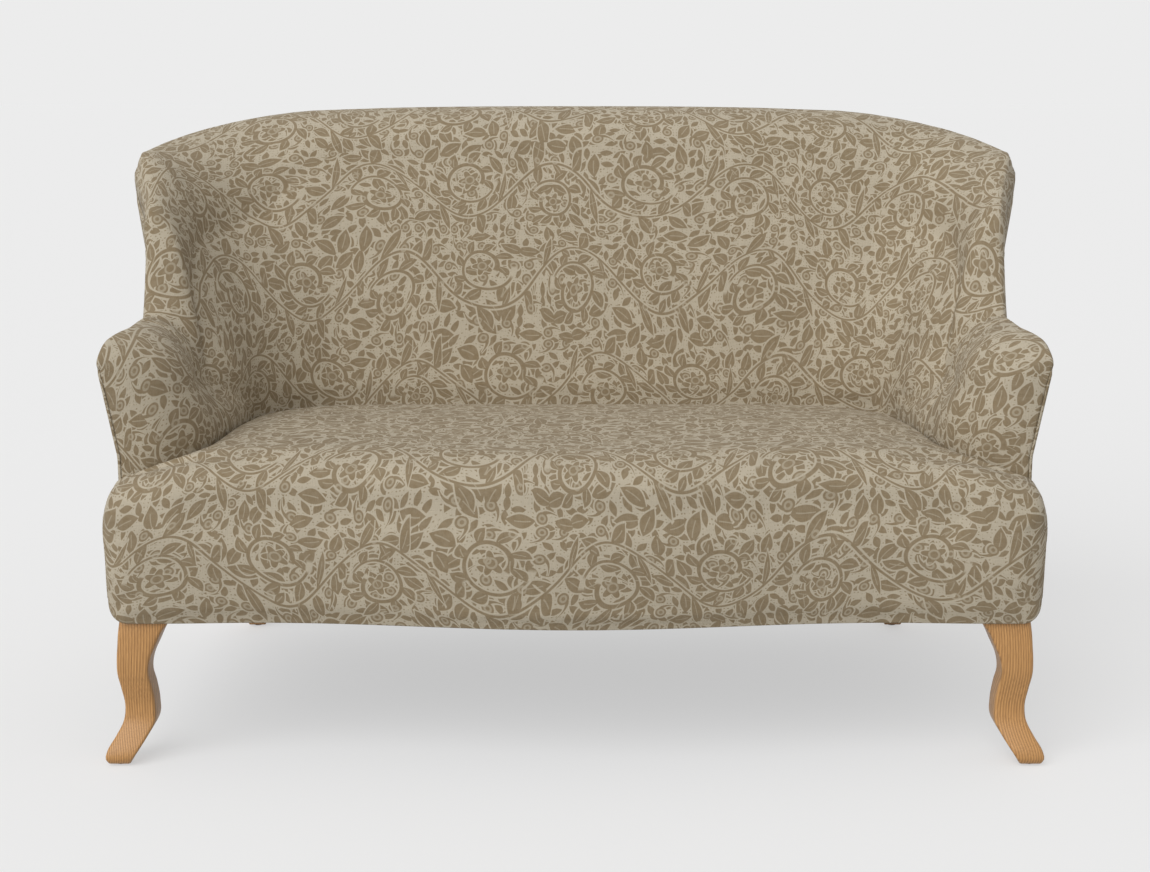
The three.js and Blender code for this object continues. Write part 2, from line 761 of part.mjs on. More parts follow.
function makeFrontRail() {
  const reach = halfFront - coverGap - frontCornerRadius;
  const inner = facetPlaces.filter((x) => Math.abs(x) < reach);
  return loft(
    [-reach, ...inner, reach].map((x) => {
      const y = frontCurve(x) + coverGap;
      const rear = y + railThickness;
      const corners = [[y, railBottom], [y, railTop], [rear, railTop], [rear, railBottom]];
      return corners.map(([cy, cz]) => new THREE.Vector3(x, cy, cz));
    }),
  );
}

function makeSideRail() {
  const rear = outsideBackY - coverGap;
  return trimmed(box(railInnerX, railOuterX, frontRailRearY + gap, rear, railBottom, railTop));
}

function makeBackRail() {
  const reach = railInnerX - gap;
  return trimmed(box(-reach, reach, backRailY, backRailY + railThickness, railBottom, railTop));
}

function makeCrossRail() {
  const half = crossRailWidth / 2;
  const facet = facetPlaces.find((x) => x > 0);
  const face = mix(frontCurve(0), frontCurve(facet), half / facet);
  const front = face + coverGap + railThickness + gap;
  return box(-half, half, front, backRailY - gap, railBottom, railBottom + crossRailHeight);
}

const blockX = railInnerX - gap;
const frontBlockY = frontRailRearY + gap;
const rearBlockY = backRailY - gap;
const frontLegY = frontY + frontLegSetback;
const rearLegY = outsideBackY - rearLegInset;
const frontBolt = [blockX - boltInset, frontBlockY + boltInset];
const rearBolt = [rearLegX, rearLegY];

const boltHole = ([x, y]) => rod(x, y, baseHeight - boltInLeg - gap, railTop, boltRadius + gap, 16);

// A corner block joins two rails, and a leg's bolt passes through it.
function makeCornerBlock(y, inwardsY, bolt) {
  const third = blockSize / 3;
  const points = [
    [blockX, y],
    [blockX, y + inwardsY * blockSize],
    [blockX - third, y + inwardsY * blockSize],
    [blockX - blockSize, y + inwardsY * third],
    [blockX - blockSize, y],
  ];
  return cutBy(trimmed(plate(points, blockHeight, railBottom)), [boltHole(bolt)]);
}

function makeBolt([x, y]) {
  const headLow = railBottom + blockHeight + gap;
  const shank = rod(x, y, baseHeight - boltInLeg, headLow + boltHeadHeight / 2, boltRadius, 16);
  const head = rod(x, y, headLow, headLow + boltHeadHeight, boltHeadRadius, 6);
  return geometryFrom(solid(shank).add(solid(head)));
}

// The felt lies on the springs and rails, and is notched round the posts.
function makeFelt() {
  const reach = railInnerX + feltLap;
  const rear = backRailY + feltLap;
  const front = frontRailRearY - feltLap;
  const sheet = trimmed(box(-reach, reach, front, rear, feltBottom, feltBottom + feltThickness));
  const posts = [stumpForm(gap), wingPostForm(gap)];
  const upright = formPost(uprightShare, uprightWidth, [railTop - overrun, seatLine], webThickness, gap);
  return cutBy(sheet, [...posts, upright].flatMap((post) => [post, mirrored(post)]));
}

// Zigzag springs run from the front rail to the back rail.
function makeSpring(x) {
  const start = frontCurve(x) + coverGap + springEndMargin;
  const end = outsideBackY - coverGap - springEndMargin;
  const turns = Math.round((end - start) / springPitch);
  const pitch = (end - start) / turns;
  const line = [[x - springWidth / 2, start]];
  for (let i = 0; i < turns; i++) {
    const side = i % 2 ? -1 : 1;
    const y = start + (i + 0.5) * pitch;
    springTurnShares.forEach(([outShare, alongShare]) => {
      line.push([x + (side * outShare * springWidth) / 2, y + alongShare * pitch]);
    });
  }
  return flatWire(line, springWire / 2, springZ);
}

function flatWire(line, radius, z) {
  const flat = line.map(([x, y]) => new THREE.Vector2(x, y));
  return loft(
    flat.map((v, i) => {
      const along = flat[Math.min(flat.length - 1, i + 1)].clone().sub(flat[Math.max(0, i - 1)]).normalize();
      return steps(0, 2 * Math.PI, 5).slice(1).map((angle) => {
        const out = radius * Math.cos(angle);
        return new THREE.Vector3(v.x - along.y * out, v.y + along.x * out, z + radius * Math.sin(angle));
      });
    }),
  );
}

function roundedSquare(x, y, z, size) {
  const half = size / 2;
  const cut = half * legCornerShare;
  const middle = half - cut * legCornerFlatShare;
  const corner = [[half, half - cut], [middle, middle], [half - cut, half]];
  return [0, 1, 2, 3].flatMap((turn) =>
    corner.map(([cx, cy]) => {
      const [px, py] = [[cx, cy], [-cy, cx], [-cx, -cy], [cy, -cx]][turn];
      return new THREE.Vector3(x + px, y + py, z);
    }),
  );
}

// The cabriole legs' knees and toes point outwards and forwards alike.
function makeFrontLeg() {
  const rings = frontLegShares.map(([up, out, wide]) => {
    const shift = out * frontLegKick;
    const z = mix(legFoot, baseHeight, up);
    return roundedSquare(frontLegX + shift, frontLegY - shift, z, wide * frontLegTopSize);
  });
  return cutBy(loft(rings), [boltHole(frontBolt)]);
}

function makeRearLeg() {
  const rings = steps(0, 1, 6).map((up) => {
    const kick = (1 - up) ** rearKickPower;
    const x = rearLegX - rearFootInward * kick;
    const size = mix(rearLegFootSize, rearLegTopSize, up);
    return roundedSquare(x, rearLegY + rearLegRake * kick, mix(legFoot, baseHeight, up), size);
  });
  return cutBy(loft(rings), [boltHole(rearBolt)]);
}

const makeGlide = (x, y) => rod(x, y, 0, glideHeight, glideRadius, 14);

// The dust cover is tacked under the rails, a little inside the hem.
function makeDustCover() {
  const reach = halfFront - coverGap - hemCornerRadius;
  const front = steps(0, reach, 10).map((x) => [x, frontCurve(x) + coverGap + dustInset]);
  const rear = planOutline().slice(0, -1).map(([x, y]) => [x - dustInset, Math.min(y, rearTackY)]);
  const right = [...front, ...rear];
  const left = right.slice(1).reverse().map(([x, y]) => [-x, y]);
  const holes = [boltHole(frontBolt), boltHole(rearBolt)];
  const sheet = plate([...right, ...left], dustThickness, baseHeight + gap);
  return cutBy(sheet, [...holes, ...holes.map(mirrored)]);
}

// Materials
const fabric = new THREE.MeshStandardMaterial({ color: 0xa3977c, roughness: 0.95, metalness: 0 });
const oak = new THREE.MeshStandardMaterial({ color: 0xc08a4e, roughness: 0.5, metalness: 0 });
const beech = new THREE.MeshStandardMaterial({ color: 0xcfae82, roughness: 0.75, metalness: 0 });
const plywood = new THREE.MeshStandardMaterial({ color: 0xb8935f, roughness: 0.8, metalness: 0 });
const foam = new THREE.MeshStandardMaterial({ color: 0xe6dcc0, roughness: 1, metalness: 0 });
const webbing = new THREE.MeshStandardMaterial({ color: 0x4a463f, roughness: 0.9, metalness: 0 });
const felt = new THREE.MeshStandardMaterial({ color: 0x8b8880, roughness: 1, metalness: 0 });
const lining = new THREE.MeshStandardMaterial({ color: 0x2c2b2a, roughness: 0.95, metalness: 0 });
const steel = new THREE.MeshStandardMaterial({ color: 0x8f9296, roughness: 0.4, metalness: 1 });
const nylon = new THREE.MeshStandardMaterial({ color: 0x3b3a38, roughness: 0.6, metalness: 0 });

const settee = new THREE.Group();

function add(name, geometry, material) {
  geometry.deleteAttribute("normal");
  geometry.deleteAttribute("uv");
  const mesh = new THREE.Mesh(geometry, material);
  mesh.name = name;
  settee.add(mesh);
}

// A piece of the sitter's left side, and its twin on the right
function addPair(name, geometry, material) {
  add(name + "_left", geometry, material);
  add(name + "_right", mirrored(geometry), material);
}

add("seat_cover", makeSeatCover(), fabric);
add("inside_back_cover", makeInsideBackCover(), fabric);
add("outside_back_cover", makeOutsideBackCover(), fabric);
addPair("inside_arm_cover", makeInsideArmCover(), fabric);
addPair("outside_arm_cover", makeOutsideArmCover(), fabric);
add("dust_cover", makeDustCover(), lining);

add("seat_pad", makeSeatPad(), foam);
add("back_pad", makeBackPad(), foam);
addPair("arm_pad", makeArmPad(), foam);
add("spring_insulator", makeFelt(), felt);

add("front_seat_rail", makeFrontRail(), beech);
add("back_seat_rail", makeBackRail(), beech);
addPair("side_seat_rail", makeSideRail(), beech);
add("centre_cross_rail", makeCrossRail(), beech);
addPair("front_corner_block", makeCornerBlock(frontBlockY, 1, frontBolt), beech);
addPair("rear_corner_block", makeCornerBlock(rearBlockY, -1, rearBolt), beech);
addPair("arm_stump", makeArmStump(), beech);
addPair("arm_rail", makeArmRail(), beech);
addPair("arm_board", makeArmBoard(), plywood);
addPair("wing_post", makeWingPost(), beech);
addPair("wing_rail", makeWingRail(), beech);
addPair("back_upright", makeBackUpright(), beech);
add("centre_upright", makeCentreUpright(), beech);
add("crest_rail", makeCrestRail(), beech);
add("lower_back_rail", makeLowerBackRail(), beech);

const webPitch = (crestLevels(station(0))[0] - lowerRailTop) / webCount;
for (let i = 0; i < webCount; i++) {
  const middle = lowerRailTop + (i + 0.5) * webPitch;
  add("back_web_" + (i + 1), makeBackWeb(middle, webFillShare * webPitch), webbing);
}

for (let i = 0; i < springCount; i++) {
  add("seat_spring_" + (i + 1), makeSpring((i - (springCount - 1) / 2) * springSpacing), steel);
}

const toeShift = frontLegShares[0][1] * frontLegKick;

addPair("front_leg", makeFrontLeg(), oak);
addPair("rear_leg", makeRearLeg(), oak);
addPair("front_leg_bolt", makeBolt(frontBolt), steel);
addPair("rear_leg_bolt", makeBolt(rearBolt), steel);
addPair("front_glide", makeGlide(frontLegX + toeShift, frontLegY - toeShift), nylon);
addPair("rear_glide", makeGlide(rearLegX - rearFootInward, rearLegY + rearLegRake), nylon);

export default settee;
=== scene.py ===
"""High back settee: upholstery, legs, materials and studio over the CAD frame. Metres, +Z up, front -Y."""

import json
import math
from types import SimpleNamespace

import bmesh
import bpy
import numpy as np
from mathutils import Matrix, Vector


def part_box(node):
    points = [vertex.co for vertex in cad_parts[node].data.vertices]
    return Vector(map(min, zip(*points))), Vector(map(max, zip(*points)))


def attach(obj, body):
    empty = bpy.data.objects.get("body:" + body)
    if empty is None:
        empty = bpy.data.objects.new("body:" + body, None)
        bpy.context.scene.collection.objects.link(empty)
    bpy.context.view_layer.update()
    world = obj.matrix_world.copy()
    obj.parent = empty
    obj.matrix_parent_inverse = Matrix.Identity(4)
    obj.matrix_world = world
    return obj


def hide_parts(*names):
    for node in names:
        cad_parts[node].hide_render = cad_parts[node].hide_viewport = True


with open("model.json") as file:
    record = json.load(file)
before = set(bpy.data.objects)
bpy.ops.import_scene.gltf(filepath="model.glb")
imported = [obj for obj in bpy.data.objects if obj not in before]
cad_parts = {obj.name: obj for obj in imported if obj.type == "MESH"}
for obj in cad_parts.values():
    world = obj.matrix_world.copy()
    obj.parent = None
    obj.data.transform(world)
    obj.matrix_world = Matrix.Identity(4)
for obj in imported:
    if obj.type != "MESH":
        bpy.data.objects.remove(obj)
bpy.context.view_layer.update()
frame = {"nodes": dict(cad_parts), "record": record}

# The upholstered form, with the sizes and names of the CAD model
OVERALL_DEPTH = 0.860
BODY_WIDTH = 1.423
SEAT_OVERHANG = 0.0055
BASE_HEIGHT = 0.224
SEAT_HEIGHT = 0.478
BACK_HEIGHT = 0.982
CREST_DROP = 0.005
WING_DROP = 0.068
ARM_HEIGHT = 0.652
ARM_SETBACK = 0.100
BACK_THICKNESS = 0.165
ARM_THICKNESS_FRONT = 0.118
ARM_THICKNESS_REAR = 0.153
INSIDE_CORNER = (0.150, 0.150, 2.2)
OUTSIDE_CORNER_POWER = 3.45

# Lean, flare and crown of the back, wings and arms
BACK_LEAN_INSIDE = 0.125
BACK_LEAN_OUTSIDE = 0.092
WING_LEAN_INSIDE = 0.120
ARM_LEAN_REAR = 0.050
ARM_LEAN_FRONT = 0.015
WING_LEAN_POWER = 1.5
WING_FLARE = 0.082
WAIST_FLARE = 0.006
ARM_FLARE = 0.026
BACK_CROWN = 0.012
ARM_CROWN = 0.005
BACK_ROLL = 0.062
ARM_ROLL = 0.050
BACK_SOFT_ROLL = 0.075
WING_SOFT_ROLL = 0.150
ARM_SOFT_ROLL = 0.095
ROLL_TOP_SHARE = 0.87
OUTER_ROLL_POWER = 2.5
INNER_ROLL_POWER = 1.9
NOSE_DEPTH = 0.110
NOSE_INSIDE = 0.091
NOSE_TOP = 0.040
NOSE_OUTSIDE = 0.005

# The seat
BELLY_DEPTH = 0.035
RECESS_DEPTH = 0.005
RECESS_X = 0.480
EAR_X = 0.640
SEAT_REAR_DROP = 0.015
SEAT_DROP_START_SHARE = 0.5
FRONT_ROLL_DEPTH = 0.060
FRONT_ROLL_SHARE = 0.18
FRONT_BULGE = 0.004
SIDE_FALL_SHARE = 0.228
SIDE_FALL_POWER = 8
SIDE_EDGE_WIDTH = 0.013
SIDE_EDGE_SHARE = 0.11
SIDE_SWELL = 0.006
SIDE_SWELL_SHARES = (0.35, 0.68)
SIDE_SWELL_POWER = 12
FRONT_CORNER_RADIUS = 0.028
HEM_CORNER_RADIUS = 0.034
GAP = 0.0003
COVER = 0.0025
PAD_BOTTOM = 0.3341

# Places on the plan line: 0 is the back's middle, 1 to 2 is the corner and 2 to 3 is the arm
WING_START = 1.33
SWOOP_TOP = 1.82
SWOOP_FOOT = 2.27
WAIST = 2.03
FLARE_START = 2.64
FLARE_END = 2.91
ARM_SEAM = 2.4
OUTSIDE_SEAM = 1.42

# The legs: a front leg's rows are shares of its height, of its kick and of its width at the top
FRONT_LEG_X = 0.661
FRONT_LEG_SETBACK = 0.047
FRONT_LEG_KICK = 0.045
FRONT_LEG_TOP = 0.077
FRONT_LEG_SHARES = [
    (0, 0.93, 0.435),
    (0.03, 0.93, 0.53),
    (0.09, 0.81, 0.62),
    (0.18, 0.54, 0.635),
    (0.27, 0.31, 0.64),
    (0.38, 0.26, 0.61),
    (0.52, 0.34, 0.62),
    (0.63, 0.43, 0.62),
    (0.74, 0.39, 0.67),
    (0.83, 0.28, 0.765),
    (0.91, 0.18, 0.85),
    (1, 0, 1),
]
REAR_LEG_X = 0.620
REAR_LEG_INSET = 0.062
REAR_LEG_RAKE = 0.082
REAR_FOOT_INWARD = 0.014
REAR_LEG_TOP = 0.052
REAR_LEG_FOOT = 0.032
REAR_KICK_POWER = 1.6
LEG_CORNER_SHARE = 0.22
LEG_FOOT = 0.0033
LEG_RINGS = 56
LEG_CORNER_STEPS = 5

# Worked out from the sizes above
HALF_BODY = BODY_WIDTH / 2
HALF_FRONT = HALF_BODY + SEAT_OVERHANG
BACK_Y = OVERALL_DEPTH / 2
FRONT_Y = BELLY_DEPTH + FRONT_BULGE - BACK_Y
ARM_FRONT_Y = FRONT_Y + ARM_SETBACK
OUTSIDE_BACK_Y = BACK_Y - BACK_LEAN_OUTSIDE
INSIDE_BACK_Y = OUTSIDE_BACK_Y - BACK_THICKNESS
SEAT_DEPTH = INSIDE_BACK_Y - FRONT_Y
INSIDE_FRONT_X = HALF_BODY - ARM_THICKNESS_FRONT
INSIDE_REAR_X = HALF_BODY - ARM_THICKNESS_REAR
CORNER_X = INSIDE_REAR_X - INSIDE_CORNER[0]
CORNER_Y = INSIDE_BACK_Y - INSIDE_CORNER[1]
ARM_RUN = CORNER_Y - ARM_FRONT_Y
SEAT_LINE = SEAT_HEIGHT - SEAT_REAR_DROP
SEAT_RISE = SEAT_HEIGHT - BASE_HEIGHT
FRONT_ROLL_HEIGHT = FRONT_ROLL_SHARE * SEAT_RISE
SIDE_FALL = SIDE_FALL_SHARE * SEAT_RISE
SIDE_EDGE = SIDE_EDGE_SHARE * SEAT_RISE
NOSE_START = 3 - NOSE_DEPTH / ARM_RUN
SEAM_SHARE = GAP / ARM_RUN

# Finer points of the covers
CREVICE_RADIUS = 0.016
SEAM_DIP = 0.0016
SEAM_REACH = 0.007
HEM_LIP = 0.005
HEM_RADIUS = 0.002
SKIRT_DEPTH = 0.06
SKIRT_SHARES = (0.15, 0.5, 1)
EAR_RETURN = 0.013
PANEL_EDGE = 0.002
LEG_EDGE = 0.0015
FLAT_ANGLE = 0.01
FLATTEN_ROUNDS = 30
CUSHION_PRESSURE = 4
SIM_FRAMES = 20
BACK_SWELL = 0.005
SEAT_SWELL = 0.006
HELD_POINTS = 2
TINY = 1e-12

# Points that the covers' faces look towards, with 1, or away from, with -1
SITTER = ((0, -0.2, 0.75), 1)
BODY_MIDDLE = ((0, 0, 0.6), -1)
SEAT_MIDDLE = ((0, 0, 0.3), -1)

# Steps of the meshes: along the back, the corner, the arm and its nose, and then up or down
INSIDE_STEPS = (36, 30, 14, 12, 22)
ROLL_STEPS = 17
DOWN_STEPS = 34
CREVICE_STEPS = 6
FRONT_WRAP_STEPS = 7
OUTSIDE_BACK_STEPS = 95
OUTSIDE_ARM_STEPS = (20, 30, 5)
OUTSIDE_ROWS = 40
SEAT_LINE_STEPS = (40, 26, 14, 18)
SEAT_END_STEPS = (3, 12)
SEAT_ROWS = (5, 22, 11, 44)
HEM_TURNS = (0.5, 1)

# The print, in millimetres on the flat cloth: rows of waving stems with leaves, and a scroll in each bend
WARP_SIZE = 280
WARP_REACH = 105
STEM_WAVE = 330
STEM_ROW = 176
STEM_SWING = 54
STEM_HALF_WIDTH = 1.9
STEM_LEAF_PITCH = 37
STEM_LEAF_LENGTHS = (27, 46)
LEAF_WIDTH_SHARE = 0.46
LEAF_TILTS = (0.6, 0.9)
LEAF_LUCK = (0.85, 1.15)
LEAF_DROOP = 0.005
SCROLL_RADIUS = 47
SCROLL_PITCH = 25
SCROLL_DROP = 19
SCROLL_START = 2.7
SCROLL_TURNS = 1.0
SCROLL_SWELL = 1.9
LEAFLET_COUNT = 8
LEAFLET_RING = 57
LEAFLET_LENGTHS = (28, 40)
LEAFLET_WIDTH = 17
FLOWER_RADIUS = 14
PETAL_DEPTH = 4.4
PETAL_COUNT = 5
FILL_SIZE = 34
FILL_LEAF = (41, 20)
FILL_LOOSENESS = 0.7
FILL_DROOP = 4 * LEAF_DROOP
FILL_CLEARANCE = 2.8
CURL_SHARE = 0.5
CURL_RADIUS = 8.6
CURL_SHIFT = 0.75
CURL_BEND = 0.045
CURL_TAPER = 0.13
CURL_HALF_WIDTH = 2.9
CURL_LIMITS = (0.3, 4)
CURL_REACH = 0.3
DROP_SIZE = 19
DROP_LEAF = (23, 10)
DROP_LOOSENESS = 0.6
DROP_CLEARANCE = 2.6
DOT_SIZE = 5.8
DOT_LOOSENESS = 0.35
DOT_RADIUS = 1.35
DOT_FLATNESS = 1.3
DOT_BAND = 3.6
DOT_REACH = 1.3
DOT_STRENGTH = 0.85
VEIN_WIDTH = 1.5
VEIN_MIDDLE = 0.45
VEIN_REACH = 0.27
VEIN_LIGHTNESS = 0.55
INK_EDGE = 0.9
THREAD = 1.0
SLUB = 16
WEAR_SIZE = 9
CLOUD_SIZE = 70
INK_STRENGTHS = (0.55, 1.2)
INK_WEAR = 0.6
INK_THREADS = 0.2
SHADE_THREADS = 0.16
SHADE_CLOUD = 0.14
SHADE_BASE = 0.77
GROUND_COLOUR = (184, 173, 152)
INK_COLOUR = (131, 113, 84)
LINEN_ROUGHNESS = 0.9
LINEN_SHEEN = {"Sheen_Weight": 0.05, "Sheen_Roughness": 0.5}
MM_PER_METRE = 1000

# Woods: light and dark colour, roughness, and fibres and rings for each metre
WOODS = {
    "oak": ((216, 164, 103), (134, 92, 48), 0.4, 900, 1600),
    "beech": ((214, 184, 142), (180, 142, 98), 0.7, 300, 260),
    "plywood": ((198, 164, 118), (160, 122, 80), 0.75, 300, 120),
}
SWAY_SCALES = (6, 6, 3)
SWAY_REACH = 0.05
RING_SLANT = 0.4
FIBRE_LENGTH = 40
RING_SHARE = 0.45
FIBRE_SHARE = 0.9
WOOD_PALENESS = 0.2

# Plain stuffs by slot: name, light and dark colour, size of grain, roughness, relief, and metal or not
STUFFS = {
    "felt": ("needled_felt", (150, 146, 138), (110, 106, 98), 0.003, 1, 0.001, 0),
    "foam": ("open_foam", (236, 226, 198), (214, 202, 170), 0.002, 1, 0.001, 0),
    "steel": ("zinc_plate", (176, 180, 184), (150, 154, 158), 0.004, 0.35, 0.0001, 1),
    "glide": ("moulded_nylon", (52, 50, 48), (40, 39, 38), 0.001, 0.5, 0.0001, 0),
    "dust_cloth": ("spun_lining", (44, 43, 42), (26, 25, 25), 0.0015, 0.95, 0.0004, 0),
}
WEB_COLOURS = ((52, 50, 46), (88, 82, 72))
WEB_ROUGHNESS = 0.85
WEB_RIB = 0.003

# Depth of the bumps in the materials
THREAD_RELIEF = 0.0006
WOOD_RELIEF = 0.0003
RIB_RELIEF = 0.0004

# Studio
FLOOR_REACH = 30
FLOOR_ROUGHNESS = 0.95
BACKGROUND = (236, 236, 236)
SHADOW_SOFTENING = 0.6
FLOOR_IN_SIGHT = (249, 249, 249)
FLOOR_TO_OTHERS = (180, 180, 180)
CAMERA_PLACE = (0, -3.329, 1.104)
CAMERA_TILT = 11.3
FOCAL_PIXELS = 2000
PHOTO_WIDTH = 1150
SENSOR_WIDTH = 36
SKY_STRENGTH = 0.5
KEY_STRENGTH = 1.92
KEY_ANGLE = 60
KEY_DIRECTION = (0.42, 0.6, -0.56)


def mix(a, b, t):
    return a + (b - a) * t


def smooth(t):
    c = np.clip(t, 0, 1)
    return c * c * (3 - 2 * c)


def wave(t):
    return (1 - np.cos(math.pi * np.clip(t, 0, 1))) / 2


def arc_sag(radius, run):
    return radius - np.sqrt(np.maximum(0, radius * radius - run * run))


def quarter(steps):
    """Shares from 1 to 0 that lie closer and closer, as seen along a quarter circle"""
    return 1 - np.sin(np.linspace(0, math.pi / 2, steps))


def corner_point(angle, width, depth, power):
    across = np.maximum(0, np.cos(angle)) ** (2 / power)
    along = np.maximum(0, np.sin(angle)) ** (2 / power)
    return np.stack([CORNER_X + width * across, CORNER_Y + depth * along], axis=-1)


def crest_height(share):
    across = np.minimum(1, share)
    around = np.clip((share - 1) / (SWOOP_TOP - 1), 0, 1)
    return BACK_HEIGHT - CREST_DROP * across**3 - WING_DROP * around


def inside_lean(share, to_wing, to_arm):
    to_front = smooth((share - SWOOP_FOOT) / (FLARE_END - SWOOP_FOOT))
    arm = mix(ARM_LEAN_REAR, ARM_LEAN_FRONT, to_front)
    return mix(mix(BACK_LEAN_INSIDE, WING_LEAN_INSIDE, to_wing), arm, to_arm)


def outside_lean(share, to_wing):
    wing = mix(BACK_LEAN_OUTSIDE, WING_FLARE, to_wing)
    waist = mix(wing, WAIST_FLARE, smooth((share - SWOOP_TOP) / (WAIST - SWOOP_TOP)))
    return mix(waist, ARM_FLARE, smooth((share - FLARE_START) / (FLARE_END - FLARE_START)))


def stations(shares):
    """The form's sections at places on the plan line, where negative places lie on the other side"""
    signed = np.asarray(shares, float)
    share = np.abs(signed)
    to_wing = smooth((share - 1) / (WING_START - 1))
    to_arm = smooth((share - SWOOP_TOP) / (SWOOP_FOOT - SWOOP_TOP))
    angle = (2 - np.clip(share, 1, 2)) * math.pi / 2
    behind = np.clip(3 - share, 0, 1) * ARM_RUN
    turn = np.minimum(1, behind / NOSE_DEPTH)
    arm_y = ARM_FRONT_Y + np.maximum(behind, NOSE_DEPTH * turn)
    across = np.minimum(1, share) * CORNER_X
    level = np.ones_like(share)
    inner_back = np.stack([across, INSIDE_BACK_Y * level], axis=-1)
    outer_back = np.stack([across, OUTSIDE_BACK_Y * level], axis=-1)
    inner_arm = np.stack([mix(INSIDE_REAR_X, INSIDE_FRONT_X, share - 2), arm_y], axis=-1)
    outer_arm = np.stack([HALF_BODY * level, arm_y], axis=-1)
    inner_corner = corner_point(angle, *INSIDE_CORNER)
    outer_sizes = (HALF_BODY - CORNER_X, OUTSIDE_BACK_Y - CORNER_Y, OUTSIDE_CORNER_POWER)
    outer_corner = corner_point(angle, *outer_sizes)
    on_back, on_arm = (share <= 1)[:, None], (share > 2)[:, None]
    inner = np.where(on_back, inner_back, np.where(on_arm, inner_arm, inner_corner))
    outer = np.where(on_back, outer_back, np.where(on_arm, outer_arm, outer_corner))
    span = np.linalg.norm(outer - inner, axis=-1)
    soft = arc_sag(1, 1 - turn)
    edge = arc_sag(1, 1 - np.minimum(1, behind / NOSE_OUTSIDE))
    top = mix(crest_height(share), ARM_HEIGHT, to_arm)
    soft_roll = mix(mix(BACK_SOFT_ROLL, WING_SOFT_ROLL, to_wing), ARM_SOFT_ROLL, to_arm)
    columns = dict(
        side=np.where(signed < 0, -1, 1),
        inner_x=inner[:, 0],
        inner_y=inner[:, 1],
        normal_x=(outer - inner)[:, 0] / span,
        normal_y=(outer - inner)[:, 1] / span,
        span=span,
        lean_in=inside_lean(share, to_wing, to_arm),
        lean_out=outside_lean(share, to_wing),
        lean_power=mix(1, WING_LEAN_POWER, to_wing),
        crown=mix(BACK_CROWN, ARM_CROWN, to_arm),
        top=top - NOSE_TOP * soft,
        nose_inside=NOSE_INSIDE * soft,
        nose_outside=NOSE_OUTSIDE * edge,
        shoulder=top - mix(BACK_ROLL, ARM_ROLL, to_arm),
        soft_shoulder=top - soft_roll,
    )
    return SimpleNamespace(**{name: values[:, None] for name, values in columns.items()})


def rise(shoulder, z):
    return np.clip((z - SEAT_LINE) / (shoulder - SEAT_LINE), 0, 1)


def inner_n(st, z):
    share = rise(st.soft_shoulder, z)
    return st.lean_in * share**st.lean_power - st.crown * np.sin(math.pi * share) + st.nose_inside


def outer_n(st, z):
    return st.span + st.lean_out * rise(st.shoulder, z) - st.nose_outside


def place(st, n, z):
    """Points of the form, where n runs outwards from the inside face"""
    x = (st.inner_x + st.normal_x * n) * st.side
    y = st.inner_y + st.normal_y * n
    return np.stack(np.broadcast_arrays(x, y, z), axis=-1)


def levels(st, shares, low, high):
    return mix(low, high, np.asarray(shares)[None, :]) + 0 * st.shoulder


ROLL_SHARES = np.linspace(0, 1, ROLL_STEPS)
INSIDE_SHARES = np.linspace(1, 0, DOWN_STEPS)[1:]
CREVICE_SHARES = np.linspace(1, 0, CREVICE_STEPS)[1:-1]


def inside_skin(st):
    """Over the roll from the outside, and down the inside into the crevice behind the seat"""
    cos = np.cos(ROLL_SHARES * math.pi)[None, :]
    power = np.where(cos > 0, OUTER_ROLL_POWER, INNER_ROLL_POWER)
    across = np.sign(cos) * np.abs(cos) ** (2 / power)
    up = np.clip(np.sin(ROLL_SHARES * math.pi), 0, 1)[None, :] ** (2 / power)
    out, inn = outer_n(st, st.shoulder), inner_n(st, st.soft_shoulder)
    ridge = mix(inn, out, ROLL_TOP_SHARE)
    reach = np.where(cos > 0, out - ridge, ridge - inn)
    low = np.where(cos > 0, st.shoulder, st.soft_shoulder)
    over = place(st, ridge + reach * across, mix(low, st.top, up))
    z = inside_heights(st)
    return np.concatenate([over, place(st, inner_n(st, z), z)], axis=1)


def inside_heights(st):
    down = levels(st, INSIDE_SHARES, SEAT_LINE, st.soft_shoulder)
    below = levels(st, CREVICE_SHARES, PAD_BOTTOM, SEAT_LINE)
    return np.concatenate([down, below], axis=1)


def outside_skin(st):
    top = st.shoulder - GAP
    z = mix(BASE_HEIGHT, top, np.linspace(0, 1, OUTSIDE_ROWS)[None, :])
    return place(st, outer_n(st, z), z)


def front_seam(st):
    """Down the arm's outer front edge, from just below the roll to the cover's foot"""
    over = mix(st.shoulder - GAP, st.soft_shoulder, ROLL_SHARES[None, :])
    z = np.concatenate([over, inside_heights(st)], axis=1)
    return place(st, outer_n(st, z) - GAP, z)


def nose_shares(steps):
    return 3 - NOSE_DEPTH * quarter(steps) / ARM_RUN


def running(points, axis):
    """Lengths along rows or columns of points, from the first one"""
    steps = np.linalg.norm(np.diff(points, axis=axis), axis=-1)
    return np.insert(np.cumsum(steps, axis=axis), 0, 0, axis=axis)


def as_complex(plane):
    return plane.reshape(-1, 2) @ (1, 1j)


